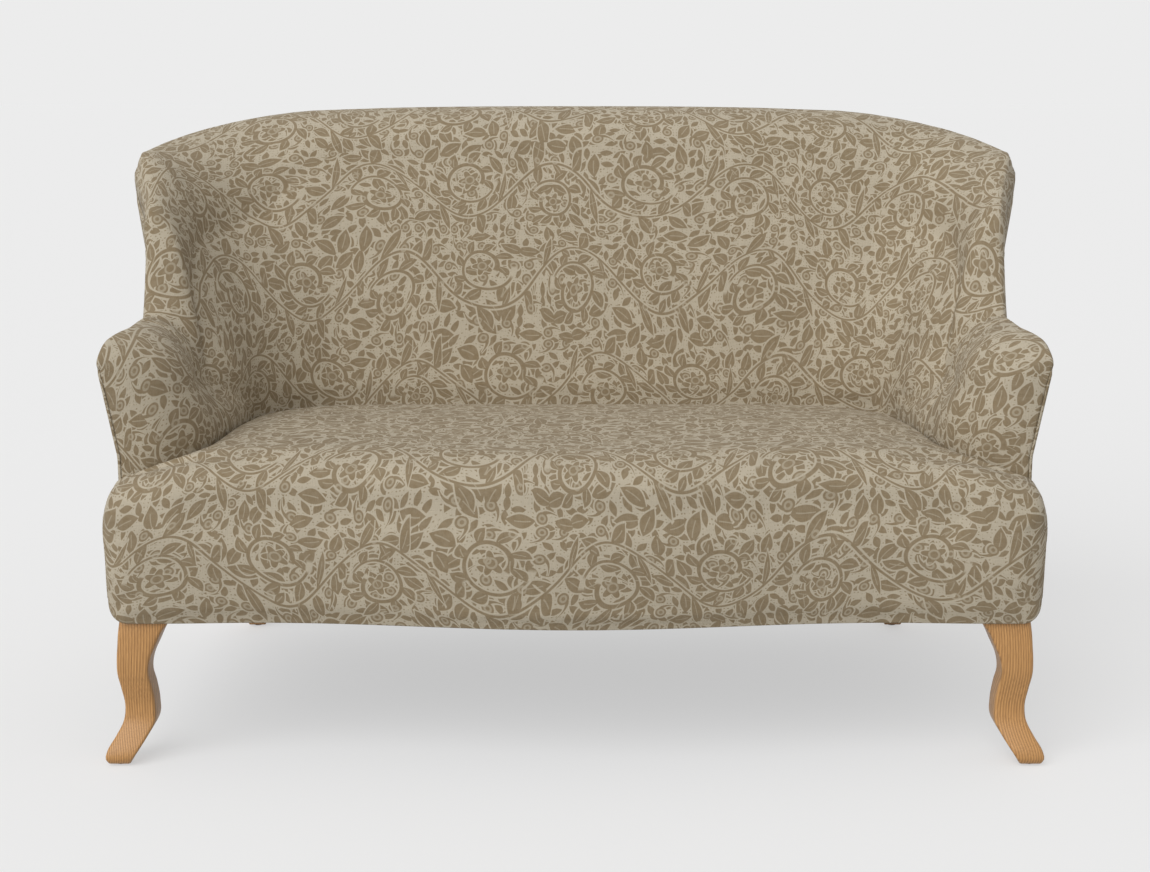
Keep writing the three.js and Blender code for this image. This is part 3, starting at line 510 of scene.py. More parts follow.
def flattened(points, guess):
    """The flat cloth of a curved cover: unwrapped with the least stretch, then laid on a first guess"""
    sheet = object_from(mesh_from_grid("flat_cloth", points, guess, SITTER))
    bpy.context.view_layer.objects.active = sheet
    bpy.ops.object.mode_set(mode="EDIT")
    bpy.ops.mesh.select_all(action="SELECT")
    bpy.ops.uv.unwrap(method="MINIMUM_STRETCH", iterations=FLATTEN_ROUNDS)
    bpy.ops.object.mode_set(mode="OBJECT")
    corners = np.empty(len(sheet.data.loops), int)
    sheet.data.loops.foreach_get("vertex_index", corners)
    unwrapped = np.empty(len(corners) * 2)
    sheet.data.uv_layers[0].data.foreach_get("uv", unwrapped)
    bpy.data.objects.remove(sheet)
    found = np.empty(guess[..., 0].size, complex)
    found[corners] = as_complex(unwrapped)
    found -= found.mean()
    wanted = as_complex(guess)
    middle = wanted.mean()
    tries = []
    for shape in (found, found.conj()):
        laid = shape * np.vdot(shape, wanted - middle) / np.vdot(shape, shape)
        tries.append((np.abs(laid + middle - wanted).sum(), laid + middle))
    best = min(tries, key=lambda one: one[0])[1]
    return np.stack([best.real, best.imag], axis=-1).reshape(guess.shape)


def surface_normals(points):
    along = np.gradient(points, axis=0)
    across = np.gradient(points, axis=1)
    normals = np.cross(along, across)
    return normals / np.maximum(np.linalg.norm(normals, axis=-1, keepdims=True), TINY)


def facing_sign(points, towards):
    """1 where a grid's normals look towards a point as they should, and -1 where they look the other way"""
    spot, sign = towards
    return 1 if (surface_normals(points) * (np.array(spot) - points)).sum() * sign > 0 else -1


def sewn_in(points, distance, towards):
    """Sinks a cover where the distance to a sewn edge is small, so that a seam shows as a fine groove"""
    depth = SEAM_DIP * (1 - np.clip(distance / SEAM_REACH, 0, 1)) ** 2
    return points - facing_sign(points, towards) * depth[..., None] * surface_normals(points)


def mesh_from_grid(name, points, uv, towards):
    """A mesh through a grid of points, whose faces look towards a point, or away from it"""
    rows, columns = points.shape[:2]
    index = np.arange(rows * columns).reshape(rows, columns)
    corners = (index[:-1, :-1], index[1:, :-1], index[1:, 1:], index[:-1, 1:])
    quads = np.stack(corners, axis=-1).reshape(-1, 4)
    if facing_sign(points, towards) < 0:
        quads = quads[:, ::-1]
    mesh = bpy.data.meshes.new(name)
    mesh.from_pydata(points.reshape(-1, 3).tolist(), [], quads.tolist())
    add_uv(mesh, uv.reshape(-1, 2))
    return mesh


def add_uv(mesh, uv):
    corner = np.empty(len(mesh.loops), int)
    mesh.loops.foreach_get("vertex_index", corner)
    layer = mesh.uv_layers.new(name="Print")
    layer.data.foreach_set("uv", uv[corner].ravel())


def object_from(mesh):
    piece = bpy.data.objects.new(mesh.name, mesh)
    bpy.context.scene.collection.objects.link(piece)
    mesh.shade_smooth()
    return piece


def thicken(piece, thickness=COVER):
    solidify = piece.modifiers.new("Thickness", "SOLIDIFY")
    solidify.thickness = thickness
    solidify.offset = -1


def plump(piece, free, cap):
    """Swells a cover with a short cloth simulation, and keeps each point's move under a cap"""
    scene = bpy.context.scene
    count = len(piece.data.vertices)
    rest = np.empty(count * 3)
    piece.data.vertices.foreach_get("co", rest)
    rest = rest.reshape(-1, 3)
    double = object_from(piece.data.copy())
    held = double.vertex_groups.new(name="held")
    held.add(np.flatnonzero(~free.ravel()).tolist(), 1.0, "REPLACE")
    cloth = double.modifiers.new("Cloth", "CLOTH")
    cloth.settings.use_pressure = True
    cloth.settings.uniform_pressure_force = CUSHION_PRESSURE
    cloth.settings.vertex_group_mass = held.name
    cloth.settings.effector_weights.gravity = 0
    cloth.collision_settings.use_collision = False
    cloth.point_cache.frame_start = 1
    cloth.point_cache.frame_end = SIM_FRAMES
    for number in range(1, SIM_FRAMES + 1):
        scene.frame_set(number)
    shaped = double.evaluated_get(bpy.context.evaluated_depsgraph_get()).to_mesh()
    swollen = np.empty(count * 3)
    shaped.vertices.foreach_get("co", swollen)
    move = swollen.reshape(-1, 3) - rest
    length = np.linalg.norm(move, axis=1, keepdims=True)
    move *= cap * np.tanh(length / cap) / np.maximum(length, TINY)
    piece.data.vertices.foreach_set("co", (rest + move).ravel())
    piece.data.update()
    bpy.data.objects.remove(double)
    scene.frame_set(1)


# The inside of the back, wings and arms
def inside_shares():
    """Places of the columns from one arm's front to the other, with the arms' two seams between them"""
    to_corner, to_arm, to_seam, to_nose, to_front = INSIDE_STEPS
    back = np.linspace(0, 1, to_corner)[1:]
    corner = np.linspace(1, 2, to_arm)[1:]
    arm_rear = np.linspace(2, ARM_SEAM - SEAM_SHARE, to_seam)[1:]
    arm_front = np.linspace(ARM_SEAM + SEAM_SHARE, NOSE_START, to_nose)
    half = np.concatenate([back, corner, arm_rear, arm_front, nose_shares(to_front)[1:]])
    return np.concatenate([-half[::-1], [0], half])


def inside_grid():
    shares = inside_shares()
    skin = inside_skin(stations(shares))
    wrap = np.linspace(0, 1, FRONT_WRAP_STEPS)[1:, None, None]
    first, last = front_seam(stations([-3])), front_seam(stations([3]))
    before = mix(skin[:1], first, wrap)[::-1]
    after = mix(skin[-1:], last, wrap)
    points = np.concatenate([before, skin, after])
    outer = 3 + wrap.ravel()
    return np.concatenate([-outer[::-1], shares, outer]), points


def make_inside_covers():
    shares, points = inside_grid()
    reference = len(ROLL_SHARES) + len(INSIDE_SHARES) // 2
    u = running(points, 0)[:, reference]
    u = u - u[len(u) // 2]
    v = running(points, 1)
    seat_row = len(ROLL_SHARES) + len(INSIDE_SHARES) - 1
    v = v[:, seat_row : seat_row + 1] - v
    uv = flattened(points, np.stack(np.broadcast_arrays(u[:, None], v), axis=-1))
    spans = {
        "inside_arm_right": shares < -ARM_SEAM,
        "inside_back": np.abs(shares) < ARM_SEAM,
        "inside_arm_left": shares > ARM_SEAM,
    }
    return [make_inside_cover(name, points[span], uv[span]) for name, span in spans.items()]


def make_inside_cover(name, points, uv):
    across, down = running(points, 0), running(points, 1)
    to_seam = np.minimum(np.minimum(across, across[-1:] - across), down)
    grid = sewn_in(points, to_seam, SITTER)
    piece = object_from(mesh_from_grid(name, grid, uv, SITTER))
    free = np.zeros(grid.shape[:2], bool)
    free[HELD_POINTS:-HELD_POINTS, HELD_POINTS + 1 : -1] = True
    plump(piece, free & (grid[..., 2] > SEAT_LINE + CREVICE_RADIUS), BACK_SWELL)
    thicken(piece)
    return piece


# The outside covers
def make_outside_cover(name, shares, sewn_at_end):
    points = outside_skin(stations(shares))
    across, up = running(points, 0), running(points, 1)
    uv = np.stack(np.broadcast_arrays(across[:, :1] + shares[0], up), axis=-1)
    to_seam = np.minimum(across, up[:, -1:] - up)
    if sewn_at_end:
        to_seam = np.minimum(to_seam, across[-1:] - across)
    grid = sewn_in(points, to_seam, BODY_MIDDLE)
    piece = object_from(mesh_from_grid(name, grid, uv, BODY_MIDDLE))
    thicken(piece)
    return piece


def make_outside_covers():
    back = np.linspace(-OUTSIDE_SEAM + SEAM_SHARE, OUTSIDE_SEAM - SEAM_SHARE, OUTSIDE_BACK_STEPS)
    to_arm, to_edge, to_front = OUTSIDE_ARM_STEPS
    corner = np.linspace(OUTSIDE_SEAM + SEAM_SHARE, 2, to_arm)
    edge_share = NOSE_OUTSIDE / ARM_RUN
    arm = np.linspace(2, 3 - edge_share, to_edge)[1:]
    half = np.concatenate([corner, arm, 3 - edge_share * quarter(to_front)[1:]])
    return [
        make_outside_cover("outside_back", back, True),
        make_outside_cover("outside_arm_left", half, False),
        make_outside_cover("outside_arm_right", -half, False),
    ]


# The seat
def front_curve(x):
    run = np.abs(x)
    middle = mix(FRONT_Y - BELLY_DEPTH, FRONT_Y + RECESS_DEPTH, wave(run / RECESS_X))
    end = mix(FRONT_Y + RECESS_DEPTH, FRONT_Y, wave((run - RECESS_X) / (EAR_X - RECESS_X)))
    return np.where(run < RECESS_X, middle, end)


def seat_top(x, y):
    along = (y - FRONT_Y) / SEAT_DEPTH
    rear = smooth((along - SEAT_DROP_START_SHARE) / (1 - SEAT_DROP_START_SHARE))
    end = np.minimum(1, np.abs(x) / HALF_FRONT) ** SIDE_FALL_POWER
    edge = np.clip((np.abs(x) - HALF_FRONT + SIDE_EDGE_WIDTH) / SIDE_EDGE_WIDTH, 0, 1)
    return SEAT_HEIGHT - SEAT_REAR_DROP * rear - SIDE_FALL * end - SIDE_EDGE * arc_sag(1, edge)


def seat_contour():
    """The line where the seat meets the back, wings and arms, from the middle to one arm's front"""
    to_corner, to_arm, to_nose, to_front = SEAT_LINE_STEPS
    back = np.linspace(0, 1, to_corner)
    corner = np.linspace(1, 2, to_arm)[1:]
    arm = np.linspace(2, NOSE_START, to_nose)[1:]
    st = stations(np.concatenate([back, corner, arm, nose_shares(to_front)[1:]]))
    return place(st, inner_n(st, SEAT_LINE) - GAP, SEAT_LINE)[:, 0, :2]


def seat_columns():
    """Places of the seat's columns from side to side, with their rear ends and half of the contour"""
    contour = seat_contour()
    to_corner, to_end = SEAT_END_STEPS
    beyond = mix(contour[-1, 0], HALF_FRONT - FRONT_CORNER_RADIUS, np.linspace(0, 1, to_corner)[1:])
    around = HALF_FRONT - FRONT_CORNER_RADIUS * quarter(to_end)[1:]
    x = np.concatenate([contour[:, 0], beyond, around])
    rear = np.concatenate([contour[:, 1], np.full(len(beyond) + len(around), ARM_FRONT_Y - GAP)])
    return np.concatenate([-x[:0:-1], x]), np.concatenate([rear[:0:-1], rear]), contour


def distance_to_line(points, line):
    """Shortest distances in plan from points to a line of many short pieces"""
    a, b = line[:-1], line[1:]
    along = b - a
    offset = points[:, None, :] - a[None]
    share = np.clip((offset * along).sum(-1) / (along * along).sum(-1), 0, 1)
    return np.linalg.norm(offset - share[..., None] * along, axis=-1).min(axis=1)


def seat_rows(x, rear, to_end):
    """Rows from under the hem, up the front and over the roll to the rear, and where the top starts"""
    under_steps, face_steps, roll_steps, top_steps = SEAT_ROWS
    face = front_curve(x) + arc_sag(FRONT_CORNER_RADIUS, np.maximum(0, FRONT_CORNER_RADIUS - to_end))
    bottom = BASE_HEIGHT + arc_sag(HEM_CORNER_RADIUS, np.maximum(0, HEM_CORNER_RADIUS - to_end))
    roll_end = face + FRONT_ROLL_DEPTH
    roll_low = seat_top(x, roll_end) - FRONT_ROLL_HEIGHT
    rows = []
    under = mix(HEM_LIP, rear - face, smooth((HEM_CORNER_RADIUS - to_end) / HEM_LIP))
    for share in np.linspace(1, 0, under_steps):
        rows.append((face + HEM_RADIUS + share * (under - HEM_RADIUS), bottom))
    for turn in HEM_TURNS:
        cos, sin = math.cos(turn * math.pi / 2), math.sin(turn * math.pi / 2)
        rows.append((face + HEM_RADIUS * (1 - sin), bottom + HEM_RADIUS * (1 - cos)))
    for t in np.linspace(0, 1, face_steps)[1:]:
        rows.append((face - FRONT_BULGE * math.sin(math.pi * t), mix(bottom + HEM_RADIUS, roll_low, t)))
    for angle in np.linspace(0, math.pi / 2, roll_steps)[1:]:
        y = face + FRONT_ROLL_DEPTH * (1 - math.cos(angle))
        rows.append((y, roll_low + FRONT_ROLL_HEIGHT * math.sin(angle)))
    top_start = len(rows)
    for t in wave(np.linspace(0.5, 1, top_steps)[1:]) * 2 - 1:
        y = mix(roll_end, rear, t)
        rows.append((y, seat_top(x, y)))
    return rows, top_start


def seat_grid():
    """The seat's points, the rows where its top starts and ends, and the top's distances to the contour"""
    x, rear, contour = seat_columns()
    to_end = HALF_FRONT - np.abs(x)
    rows, top_start = seat_rows(x, rear, to_end)
    grid = np.array([np.stack([x, y, z], axis=-1) for y, z in rows])
    low, high = SIDE_SWELL_SHARES
    swell = SIDE_SWELL * smooth(((grid[..., 2] - BASE_HEIGHT) / SEAT_RISE - low) / (high - low))
    grid[..., 0] += np.sign(x) * swell * np.abs(x / HALF_FRONT) ** SIDE_SWELL_POWER
    line = np.concatenate([contour[:0:-1] * (-1, 1), contour])
    top = grid[top_start:]
    distance = distance_to_line(top[..., :2].reshape(-1, 2), line).reshape(top.shape[:2])
    top[..., 2] -= arc_sag(CREVICE_RADIUS, np.maximum(0, CREVICE_RADIUS - distance))
    foot = np.where((to_end < EAR_RETURN)[:, None], grid[0], top[-1] - (0, 0, SKIRT_DEPTH))
    skirt = [mix(top[-1], foot, share) for share in SKIRT_SHARES]
    return np.concatenate([grid, skirt]), top_start, len(rows), distance


def make_seat():
    grid, top_start, top_end, distance = seat_grid()
    face_start = SEAT_ROWS[0] + len(HEM_TURNS)
    up = running(grid, 0)
    uv = np.stack(np.broadcast_arrays(grid[:1, :, 0], up - up[face_start - 1]), axis=-1)
    seat = object_from(mesh_from_grid("seat", grid, uv, SEAT_MIDDLE))
    free = np.zeros(grid.shape[:2], bool)
    free[face_start + 1 : top_end, HELD_POINTS:-HELD_POINTS] = True
    free[top_start:top_end] &= distance > CREVICE_RADIUS
    plump(seat, free, SEAT_SWELL)
    close_ends(seat, grid.shape[1], top_end)
    thicken(seat)
    return seat


def close_ends(seat, columns, top_end):
    """Closes both ends of the seat with a side panel"""
    made = bmesh.new()
    made.from_mesh(seat.data)
    made.verts.ensure_lookup_table()
    layer = made.loops.layers.uv.active
    borders = {
        -1: [made.verts[row * columns] for row in range(top_end)][::-1],
        1: [made.verts[row * columns + columns - 1] for row in range(top_end)],
    }
    for side, border in borders.items():
        panel = made.faces.new(border)
        panel.smooth = True
        for loop in panel.loops:
            reach = loop.vert.co.y - FRONT_Y
            loop[layer].uv = (side * (HALF_FRONT + reach), loop.vert.co.z - BASE_HEIGHT)
        bmesh.ops.inset_region(made, faces=[panel], thickness=PANEL_EDGE)
    made.to_mesh(seat.data)
    made.free()


# The legs
def smooth_table(table, count):
    """Rows of a table at even heights on smooth curves through them"""
    rows = np.array(table, float)
    ups = rows[:, 0]
    slopes = np.gradient(rows, ups, axis=0)
    wanted = np.linspace(0, 1, count)
    k = np.clip(np.searchsorted(ups, wanted, side="right") - 1, 0, len(ups) - 2)
    run = (ups[k + 1] - ups[k])[:, None]
    t = (wanted[:, None] - ups[k][:, None]) / run
    low, high = rows[k], rows[k + 1]
    h = t * t * (3 - 2 * t)
    return mix(low, high, h) + run * (slopes[k] * t * (1 - t) ** 2 - slopes[k + 1] * t * t * (1 - t))


def rounded_square(size):
    half = size / 2
    cut = half * LEG_CORNER_SHARE
    angles = np.linspace(0, math.pi / 2, LEG_CORNER_STEPS)
    corner = np.stack([half - cut + cut * np.cos(angles), half - cut + cut * np.sin(angles)], axis=-1)
    ring = []
    for turn in range(4):
        cos, sin = round(math.cos(turn * math.pi / 2)), round(math.sin(turn * math.pi / 2))
        ring.append(corner @ np.array([[cos, sin], [-sin, cos]]))
    return np.concatenate(ring)


def make_leg(name, rings):
    """A leg through rings of (centre x, centre y, height, size)"""
    sections = [rounded_square(size) for _, _, _, size in rings]
    points = [
        (x + px, y + py, z) for (x, y, z, _), section in zip(rings, sections) for px, py in section
    ]
    size = len(sections[0])
    faces = []
    for i in range(len(rings) - 1):
        for j in range(size):
            k = (j + 1) % size
            faces.append((i * size + j, i * size + k, (i + 1) * size + k, (i + 1) * size + j))
    faces.append(tuple(range(size))[::-1])
    faces.append(tuple(range((len(rings) - 1) * size, len(rings) * size)))
    mesh = bpy.data.meshes.new(name)
    mesh.from_pydata(points, [], faces)
    leg = object_from(mesh)
    bevel = leg.modifiers.new("Edges", "BEVEL")
    bevel.width = LEG_EDGE
    bevel.segments = 2
    bevel.limit_method = "ANGLE"
    return leg


def make_legs():
    front_y = FRONT_Y + FRONT_LEG_SETBACK
    rear_y = OUTSIDE_BACK_Y - REAR_LEG_INSET
    made = []
    for side, word in ((1, "left"), (-1, "right")):
        rings = []
        for up, out, wide in smooth_table(FRONT_LEG_SHARES, LEG_RINGS):
            shift = out * FRONT_LEG_KICK
            z = mix(LEG_FOOT, BASE_HEIGHT, up)
            rings.append((side * (FRONT_LEG_X + shift), front_y - shift, z, wide * FRONT_LEG_TOP))
        made.append(make_leg("cabriole_leg_" + word, rings))
        rings = []
        for up in np.linspace(0, 1, LEG_RINGS // 2):
            kick = (1 - up) ** REAR_KICK_POWER
            x = side * (REAR_LEG_X - REAR_FOOT_INWARD * kick)
            size = mix(REAR_LEG_FOOT, REAR_LEG_TOP, up)
            rings.append((x, rear_y + REAR_LEG_RAKE * kick, mix(LEG_FOOT, BASE_HEIGHT, up), size))
        made.append(make_leg("raked_leg_" + word, rings))
    return made


# The cloth under the seat
def make_dust_cover():
    low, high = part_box("dust_cover")
    source = frame["nodes"]["dust_cover"].data
    made = bmesh.new()
    made.from_mesh(source)
    bmesh.ops.dissolve_limit(made, angle_limit=FLAT_ANGLE, verts=made.verts, edges=made.edges)
    mesh = bpy.data.meshes.new("dust_cloth")
    made.to_mesh(mesh)
    made.free()
    return object_from(mesh), (high[0] - low[0], high[1] - low[1])


inside_pieces = make_inside_covers()
outside_pieces = make_outside_covers()
seat = make_seat()
legs = make_legs()
dust, dust_flat = make_dust_cover()


class Field:
    """A value that varies over a surface, worked out by shader nodes"""

    def __init__(self, tree, socket):
        self.tree = tree
        self.socket = socket

    def math(self, operation, *others, clamp=False):
        node = self.tree.nodes.new("ShaderNodeMath")
        node.operation = operation
        node.use_clamp = clamp
        for slot, value in zip(node.inputs, (self, *others)):
            feed(self.tree, value, slot)
        return Field(self.tree, node.outputs[0])

    def __add__(self, other):
        return self.math("ADD", other)

    def __sub__(self, other):
        return self.math("SUBTRACT", other)

    def __mul__(self, other):
        return self.math("MULTIPLY", other)

    def __truediv__(self, other):
        return self.math("DIVIDE", other)

    def __rsub__(self, other):
        return self.math("MULTIPLY_ADD", -1, other)

    def __neg__(self):
        return self.math("MULTIPLY", -1)

    def abs(self):
        return self.math("ABSOLUTE")

    def floor(self):
        return self.math("FLOOR")

    def fraction(self):
        return self.math("FRACT")

    def sine(self):
        return self.math("SINE")

    def cosine(self):
        return self.math("COSINE")

    def root(self):
        return self.math("SQRT")

    def least(self, other):
        return self.math("MINIMUM", other)

    def most(self, other):
        return self.math("MAXIMUM", other)

    def within(self, low, high):
        return self.most(low).least(high)

    def above(self, level):
        return self.math("GREATER_THAN", level)


def feed(tree, value, slot):
    if isinstance(value, Field):
        tree.links.new(value.socket, slot)
    else:
        slot.default_value = value


def length_of(a, b):
    return (a * a + b * b).root()


def between(low, high, share):
    return share * (high - low) + low


def vector_of(tree, x, y, z=0.0):
    node = tree.nodes.new("ShaderNodeCombineXYZ")
    for slot, value in zip(node.inputs, (x, y, z)):
        feed(tree, value, slot)
    return Field(tree, node.outputs[0])


def parts_of(tree, vector):
    node = tree.nodes.new("ShaderNodeSeparateXYZ")
    feed(tree, vector, node.inputs[0])
    return [Field(tree, socket) for socket in node.outputs]


def noise(tree, x, y, z=0.0, detail=1.0):
    """Soft noise with features about one unit wide, as a value and as a colour"""
    node = tree.nodes.new("ShaderNodeTexNoise")
    feed(tree, vector_of(tree, x, y, z), node.inputs["Vector"])
    node.inputs["Scale"].default_value = 1
    node.inputs["Detail"].default_value = detail
    return Field(tree, node.outputs[0]), Field(tree, node.outputs["Color"])


def chance(tree, a, b):
    """A random value from 0 to 1 for each pair of whole numbers"""
    node = tree.nodes.new("ShaderNodeTexWhiteNoise")
    node.noise_dimensions = "2D"
    feed(tree, vector_of(tree, a, b), node.inputs["Vector"])
    return Field(tree, node.outputs["Value"])


def scatter(tree, x, y, size, looseness):
    """The offset from the nearest of many scattered places, and two random values for that place"""
    node = tree.nodes.new("ShaderNodeTexVoronoi")
    node.voronoi_dimensions = "2D"
    feed(tree, vector_of(tree, x, y), node.inputs["Vector"])
    node.inputs["Scale"].default_value = 1 / size
    node.inputs["Randomness"].default_value = looseness
    place_x, place_y, _ = parts_of(tree, Field(tree, node.outputs["Position"]))
    one, two, _ = parts_of(tree, Field(tree, node.outputs["Color"]))
    return x - place_x, y - place_y, one, two


def turned(x, y, angle):
    cos, sin = angle.cosine(), angle.sine()
    return x * cos + y * sin, y * cos - x * sin


# The print's motifs: each gives how far a point lies outside them, and outside the light lines in them
def leaf(along, across, length, width):
    share = (along / length).within(0, 1)
    half = (share * math.pi).sine() * width / 2
    outside = (across.abs() - half).most((-along).most(along - length))
    vein = (across.abs() - VEIN_WIDTH / 2).most(((share - VEIN_MIDDLE).abs() - VEIN_REACH) * length)
    return outside, vein


def alternating(index):
    """-1 at even whole numbers and 1 at odd ones"""
    return (index * 0.5).fraction() * 4 - 1


def stem_leaves(tree, x, across, height, steepness, row):
    """Leaves on one side of the stem after the other, longer on the outside of its bends"""
    place = x / STEM_LEAF_PITCH
    index = place.floor()
    side = alternating(index)
    luck = chance(tree, index, row)
    along = (place - index) * steepness * STEM_LEAF_PITCH
    outer_bend = (height * side * (0.5 / STEM_SWING) + 0.5).within(0, 1)
    length = between(*STEM_LEAF_LENGTHS, outer_bend) * between(*LEAF_LUCK, luck)
    forward, sideways = turned(along - 2 * STEM_HALF_WIDTH, across * side, between(*LEAF_TILTS, luck))
    droop = forward * forward * LEAF_DROOP
    outside, vein = leaf(forward, sideways - droop, length, length * LEAF_WIDTH_SHARE)
    return outside.most(-(across * side)), vein


def scrolls(tree, x, y, row):
    """A scroll with leaflets round it and a flower at its middle, in each bend of the stem"""
    bend = (x * (2 / STEM_WAVE) + 0.5).floor()
    up = -alternating(bend)
    x = (x - bend * (STEM_WAVE / 2)) * up
    y = y * up + SCROLL_DROP
    radius, angle = length_of(x, y), y.math("ARCTAN2", x)
    turns = ((angle - SCROLL_START) * (-0.5 / math.pi)).fraction()
    ring = (SCROLL_RADIUS - radius) / SCROLL_PITCH - turns
    count = (ring + 0.5).floor()
    total = turns + count
    spiral = (ring - count).abs() * SCROLL_PITCH - STEM_HALF_WIDTH - total.abs() * SCROLL_SWELL
    spiral = spiral.most(((total - SCROLL_TURNS / 2).abs() - SCROLL_TURNS / 2) * SCROLL_RADIUS)
    step = angle * (LEAFLET_COUNT / (2 * math.pi))
    index = step.floor()
    luck = chance(tree, index + bend * LEAFLET_COUNT, row)
    along = (index + 1 - step) * (2 * math.pi * LEAFLET_RING / LEAFLET_COUNT)
    outwards = radius + turns * SCROLL_PITCH - SCROLL_RADIUS
    forward, sideways = turned(along - 2 * STEM_HALF_WIDTH, outwards, between(*LEAF_TILTS, luck))
    leaflet, vein = leaf(forward, sideways, between(*LEAFLET_LENGTHS, luck), LEAFLET_WIDTH)
    flower = radius - (angle * PETAL_COUNT).cosine() * PETAL_DEPTH - FLOWER_RADIUS
    eye = (radius - FLOWER_RADIUS / 2).abs() - VEIN_WIDTH
    return spiral.least(flower).least(leaflet.most(STEM_HALF_WIDTH - outwards)), vein.least(eye)


def waving_stems(tree, x, y):
    row = (y / STEM_ROW).floor()
    x = x + chance(tree, row, 0) * STEM_WAVE
    y = y - (row + 0.5) * STEM_ROW
    phase = x * (2 * math.pi / STEM_WAVE)
    slope = phase.sine() * (-2 * math.pi * STEM_SWING / STEM_WAVE)
    steepness = (slope * slope + 1).root()
    height = phase.cosine() * STEM_SWING
    across = (y - height) / steepness
    leaves, veins = stem_leaves(tree, x, across, height, steepness, row)
    scroll, scroll_veins = scrolls(tree, x, y, row)
    stem = across.abs() - STEM_HALF_WIDTH
    return stem.least(leaves).least(scroll), veins.least(scroll_veins)


def filling(tree, x, y):
    """Loose leaves and curls, turned at random"""
    x, y, luck, choice = scatter(tree, x, y, FILL_SIZE, FILL_LOOSENESS)
    x, y = turned(x, y, luck * (2 * math.pi))
    length, width = FILL_LEAF
    curve = x * x * (choice - 0.5) * FILL_DROOP
    leaf_shape, leaf_vein = leaf(x + length / 2, y - curve, length, width)
    radius = length_of(x - CURL_RADIUS * CURL_SHIFT, y)
    tail = (x * x * CURL_BEND - y - CURL_RADIUS / 2).abs()
    tail = tail - (x * CURL_TAPER + CURL_HALF_WIDTH).within(*CURL_LIMITS)
    tail = tail.most((x + length / 4).abs() - length * CURL_REACH)
    curl = (radius - CURL_RADIUS).least(tail)
    curl_vein = (radius - CURL_RADIUS / 2).abs() - VEIN_WIDTH
    curled = choice.above(CURL_SHARE)
    return between(leaf_shape, curl, curled), between(leaf_vein, curl_vein, curled)


def foliage(tree, x, y):
    """The whole print: how far a point lies outside the shapes, the light lines and the dots"""
    _, drift = noise(tree, x / WARP_SIZE, y / WARP_SIZE)
    drift_x, drift_y, _ = parts_of(tree, drift)
    x = x + (drift_x - 0.5) * WARP_REACH
    y = y + (drift_y - 0.5) * WARP_REACH
    shapes, veins = waving_stems(tree, x, y)
    fill, fill_veins = filling(tree, x, y)
    shapes = shapes.least(fill.most(FILL_CLEARANCE - shapes))
    drop_x, drop_y, luck, _ = scatter(tree, x, y, DROP_SIZE, DROP_LOOSENESS)
    drop_x, drop_y = turned(drop_x, drop_y, luck * (2 * math.pi))
    length, width = DROP_LEAF
    drop, _ = leaf(drop_x + length / 2, drop_y, length, width)
    shapes = shapes.least(drop.most(DROP_CLEARANCE - shapes))
    dot_x, dot_y, _, _ = scatter(tree, x, y, DOT_SIZE, DOT_LOOSENESS)
    dots = length_of(dot_x, dot_y * DOT_FLATNESS) - DOT_RADIUS
    dots = dots.most((shapes - DOT_BAND).abs() - DOT_REACH)
    return shapes, veins.least(fill_veins), dots


def covered(outside, edge=INK_EDGE):
    """1 inside a shape, 0 outside it, with a soft edge"""
    return outside.math("MULTIPLY_ADD", -1 / edge, 0.5, clamp=True)


# Materials
def linear(colour):
    """A screen colour of 0 to 255 as the shader's linear values"""
    shares = [c / 255 for c in colour]
    return (*[s / 12.92 if s < 0.04045 else ((s + 0.055) / 1.055) ** 2.4 for s in shares], 1)


def new_material(name, roughness, **sockets):
    material = bpy.data.materials.new(name)
    material.use_nodes = True
    tree = material.node_tree
    shader = tree.nodes["Principled BSDF"]
    shader.inputs["Roughness"].default_value = roughness
    for socket, value in sockets.items():
        shader.inputs[socket.replace("_", " ")].default_value = value
    return material, tree, shader


def mixed_colour(tree, low, high, share, shade=None):
    """A mix of two colours, darkened or lightened by a shade about 1"""
    node = tree.nodes.new("ShaderNodeMix")
    node.data_type = "RGBA"
    feed(tree, share, node.inputs["Factor"])
    node.inputs["A"].default_value = linear(low)
    node.inputs["B"].default_value = linear(high)
    colour = Field(tree, node.outputs["Result"])
    if shade is None:
        return colour
    scale = tree.nodes.new("ShaderNodeVectorMath")
    scale.operation = "SCALE"
    feed(tree, colour, scale.inputs[0])
    feed(tree, shade, scale.inputs["Scale"])
    return Field(tree, scale.outputs[0])


def raise_surface(tree, shader, height, depth):
    """Bumps of a depth in metres, from a height between 0 and 1"""
    bump = tree.nodes.new("ShaderNodeBump")
    bump.inputs["Distance"].default_value = depth
    feed(tree, height, bump.inputs["Height"])
    tree.links.new(bump.outputs[0], shader.inputs["Normal"])


def object_place(tree):
    source = tree.nodes.new("ShaderNodeTexCoord")
    return parts_of(tree, Field(tree, source.outputs["Object"]))


